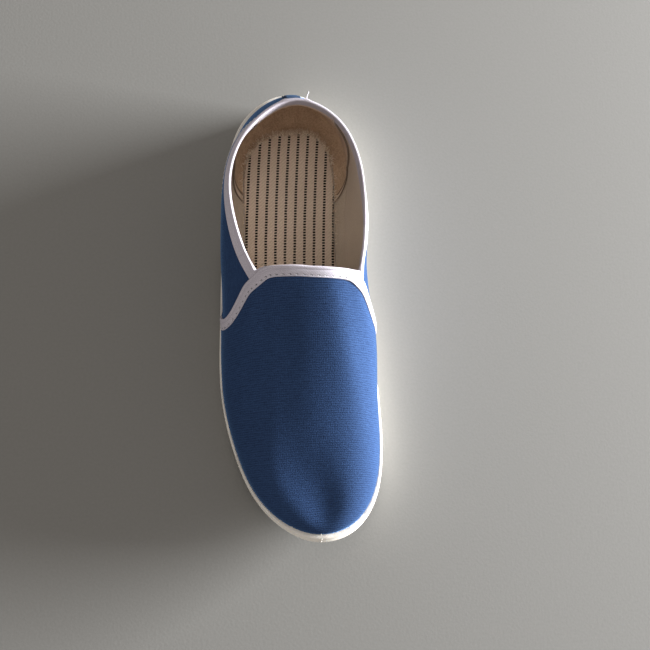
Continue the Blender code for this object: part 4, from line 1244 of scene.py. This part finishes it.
def sole_loops(count):
    """Seat, lip, side wall and tread of the sole, as loops from the seat's middle to the tread's."""
    columns = np.linspace(0, GIRTH, count, endpoint=False)
    run = leaned(columns, 0.0)
    on_vamp = (columns > RUN_OUTER) & (columns < RUN_INNER)
    foot = foot_curve(run)
    out = outward(run)
    welt = shape_curve(run)[:, [WELT]]
    bottom = tread_up((foot + out * welt)[:, 1])
    tall = foot[:, 2] - bottom
    lip = welt * LIP_SHARE + LIP_LEAST
    grooved = smooth(foot[:, 1] / LENGTH, *GROOVE_FADE)[:, None]
    band = LIP_BAND * tall
    flash = sum(size * ripple(run, 0 * run, pitch, seed) for size, pitch, seed in FLASH_WAVES)

    def loop(overhang, up):
        level = foot[:, :2] + out[:, :2] * overhang
        return np.column_stack([level, np.broadcast_to(up, len(level))])

    def skin(height):
        at = leaned(columns, height)
        lift = np.where(on_vamp, VAMP_LAYER, 0.0) + 0.1
        return off_wall(at, height, lift)

    def ring(rim, share, height_at):
        level = rim[:, :2] + (heading_middle(rim) - rim[:, :2]) * share
        return np.column_stack([level, height_at(level[:, 1])])

    seat = [skin(height) for height in SEAT_ROWS]
    seat_rings = [ring(seat[0], share, lambda along: insole_up(along) - GAP) for share in SEAT_SHARES]
    lip_inside = skin(0.0) + np.column_stack([np.zeros((count, 2)), flash])
    middle = (lip + welt) / 2
    top = foot[:, 2]
    lip_end = top - band
    bumper = lip_end - GROOVE_HEIGHT
    low = bumper - BUMPER_SLOPE
    side = [loop(lip * 0.55, top + 0.12 + flash), loop(lip - 0.45, top + flash * 0.6),
            loop(lip - 0.12, top - 0.18), loop(lip, top - 0.55),
            loop(lip + LIP_LEAN / 2, top - band / 2), loop(lip + LIP_LEAN, lip_end + 0.1),
            loop(lip + LIP_LEAN - 0.3 * grooved, lip_end - 0.15),
            loop(middle - GROOVE_DEPTH * grooved, lip_end - GROOVE_HEIGHT * 0.45),
            loop(middle - GROOVE_DEPTH * grooved + 0.1, lip_end - GROOVE_HEIGHT * 0.8),
            loop(welt - 0.9, bumper - BUMPER_SLOPE * 0.15), loop(welt - 0.25, bumper - BUMPER_SLOPE * 0.5),
            loop(welt, low)]
    high = bottom + TREAD_ROUND[1]
    side += [loop(welt, low + (high - low) * share) for share in (0.33, 0.66, 1.0)]
    rim = []
    for turn in np.radians((30, 60, 90)):
        edge = loop(welt - TREAD_ROUND[0] * (1 - np.cos(turn)), 0.0)
        edge[:, 2] = tread_up(edge[:, 1]) + TREAD_ROUND[1] * (1 - np.sin(turn))
        rim.append(edge)
    tread = [ring(rim[-1], share, tread_up) for share in TREAD_SHARES]
    return seat_rings + seat + [lip_inside] + side + rim + tread


def groove_cutter():
    """Bars that cut the grooves of the tread."""
    points, faces = [], []
    for group in TREAD_GROUPS:
        row = dict(zip(TREAD_COLUMNS, group))
        for i in range(row["count"]):
            along = row["along"] + i * row["pitch"]
            centre = np.array([row["across"] + i * row["drift"], along])
            turn = np.radians(row["turn"])
            reach = np.array([np.cos(turn), np.sin(turn)]) * row["length"] / 2
            side = np.array([-np.sin(turn), np.cos(turn)]) * TREAD_GROOVE / 2
            first = len(points)
            for up, wide in ((-TREAD_DEPTH, 1.0), (float(tread_up(along)) + TREAD_DEPTH, 0.7)):
                for a, b in ((-1, -1), (1, -1), (1, 1), (-1, 1)):
                    points.append((*(centre + reach * a + side * b * wide), up))
            faces += [[first + i for i in face] for face in (
                (0, 1, 2, 3), (4, 5, 6, 7), (0, 1, 5, 4), (1, 2, 6, 5), (2, 3, 7, 6), (3, 0, 4, 7))]
    return points, faces


loops = np.stack(sole_loops(SOLE_COLUMNS), axis=0)
FOAM = moulded_foam("foam_white")
sole = add_piece("foam_sole", loops.reshape(-1, 3), ring_faces(*loops.shape[:2]), FOAM, crisp=50.0)
cutter = add_piece("tread_cutter", *groove_cutter(), FOAM)
cut = sole.modifiers.new("tread", "BOOLEAN")
cut.operation = "DIFFERENCE"
cut.solver = "EXACT"
cut.use_self = True
cut.object = cutter
bpy.context.view_layer.update()
carved = bpy.data.meshes.new_from_object(sole.evaluated_get(bpy.context.evaluated_depsgraph_get()))
sole.modifiers.clear()
sole.data = carved
bpy.data.objects.remove(cutter, do_unlink=True)
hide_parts("sole")

PARTING_RUN = 314.5
FLASH_RUNS = (297.4, 314.5)
FLASH_HEIGHTS = np.array((0.0, 0.03, 0.06))
FLASH_LIFT = 0.15
RIB_RADIUS = 0.34
FLASH_RADIUS = 0.42
LIP_LOOP = 6
RIM_LOOP = 24
columns = leaned(np.linspace(0, GIRTH, SOLE_COLUMNS, endpoint=False), 0.0)
rib = loops[LIP_LOOP + 2:RIM_LOOP, int(np.argmin(np.abs(columns - PARTING_RUN)))]
flash_bits = [cloth_skin(np.full(len(FLASH_HEIGHTS), at), FLASH_HEIGHTS, VAMP_LAYER + FLASH_LIFT)
              for at in FLASH_RUNS]
for name, lines, radius in (("mould_rib", [rib], RIB_RADIUS), ("mould_flash", flash_bits, FLASH_RADIUS)):
    made = add_piece(name, *threads(lines, radius, 6), FOAM)


# Floor: a plain pale floor with a fine even grain.
FLOOR_PALE = (0.250, 0.250, 0.243, 1)
FLOOR_DARK = (0.218, 0.218, 0.211, 1)
FLOOR_REACH = 4.0
mesh = bpy.data.meshes.new("floor")
mesh.from_pydata([(x * FLOOR_REACH, y * FLOOR_REACH, 0) for x, y in ((-1, -1), (1, -1), (1, 1), (-1, 1))], [],
                 [(0, 1, 2, 3)])
floor = bpy.data.objects.new("floor", mesh)
bpy.context.scene.collection.objects.link(floor)
material, tree, shader = new_material("floor_pale")
place = node(tree, "TexCoord").node.outputs["Object"]
grain = node(tree, "TexNoise", {"Vector": place, "Scale": 620.0, "Detail": 4.0})
surfaced(tree, shader, blended(tree, grain, FLOOR_DARK, FLOOR_PALE), grain, 0.20, 0.2, {"Roughness": 0.85})
mesh.materials.append(material)


# Light and camera: a large soft lamp low on the inner side, a weak warm room, and a camera almost
# straight above the shoe, as the photograph was taken.
LAMP_PLACE = np.array((2.0, 0.30, 0.280))
LAMP_AIM = np.array((0.0, 0.0, 0.03))
LAMP_SIZE = (1.1, 0.30)
LAMP_POWER = 255.0
ROOM_COLOUR = (1.0, 0.93, 0.86, 1)
ROOM_STRENGTH = 0.48
CAMERA_PLACE = (-0.0366, -0.1132, 0.5677)
CAMERA_RIGHT = np.array((0.9950, -0.0478, 0.0872))
CAMERA_BACK = np.array((-0.0946, -0.1858, 0.9780))
LENS = 50.0
SENSOR_WIDTH = 36.0


def add_facing(name, data, place, right, back):
    """Lamp or camera at a place, with its right-hand side and its back turned two ways."""
    made = bpy.data.objects.new(name, data)
    up = np.cross(back, right)
    made.matrix_world = Matrix([[right[i], up[i], back[i], place[i]] for i in range(3)] + [[0, 0, 0, 1]])
    bpy.context.scene.collection.objects.link(made)
    return made


window = bpy.data.lights.new("window", "AREA")
window.shape = "RECTANGLE"
window.size, window.size_y = LAMP_SIZE
window.energy = LAMP_POWER
back = unit(LAMP_PLACE - LAMP_AIM)
lamp = add_facing("window", window, LAMP_PLACE, unit(np.cross((0.0, 0.0, 1.0), back)), back)
lamp.visible_camera = False
world = bpy.data.worlds.new("room")
world.use_nodes = True
set_even(world.node_tree.nodes["Background"], {"Color": ROOM_COLOUR, "Strength": ROOM_STRENGTH})
bpy.context.scene.world = world

lens = bpy.data.cameras.new("camera")
lens.lens = LENS
lens.sensor_width = SENSOR_WIDTH
back = unit(CAMERA_BACK)
right = unit(CAMERA_RIGHT - back * (back @ CAMERA_RIGHT))
bpy.context.scene.camera = add_facing("camera", lens, CAMERA_PLACE, right, back)

bpy.context.scene.view_settings.view_transform = "Standard"
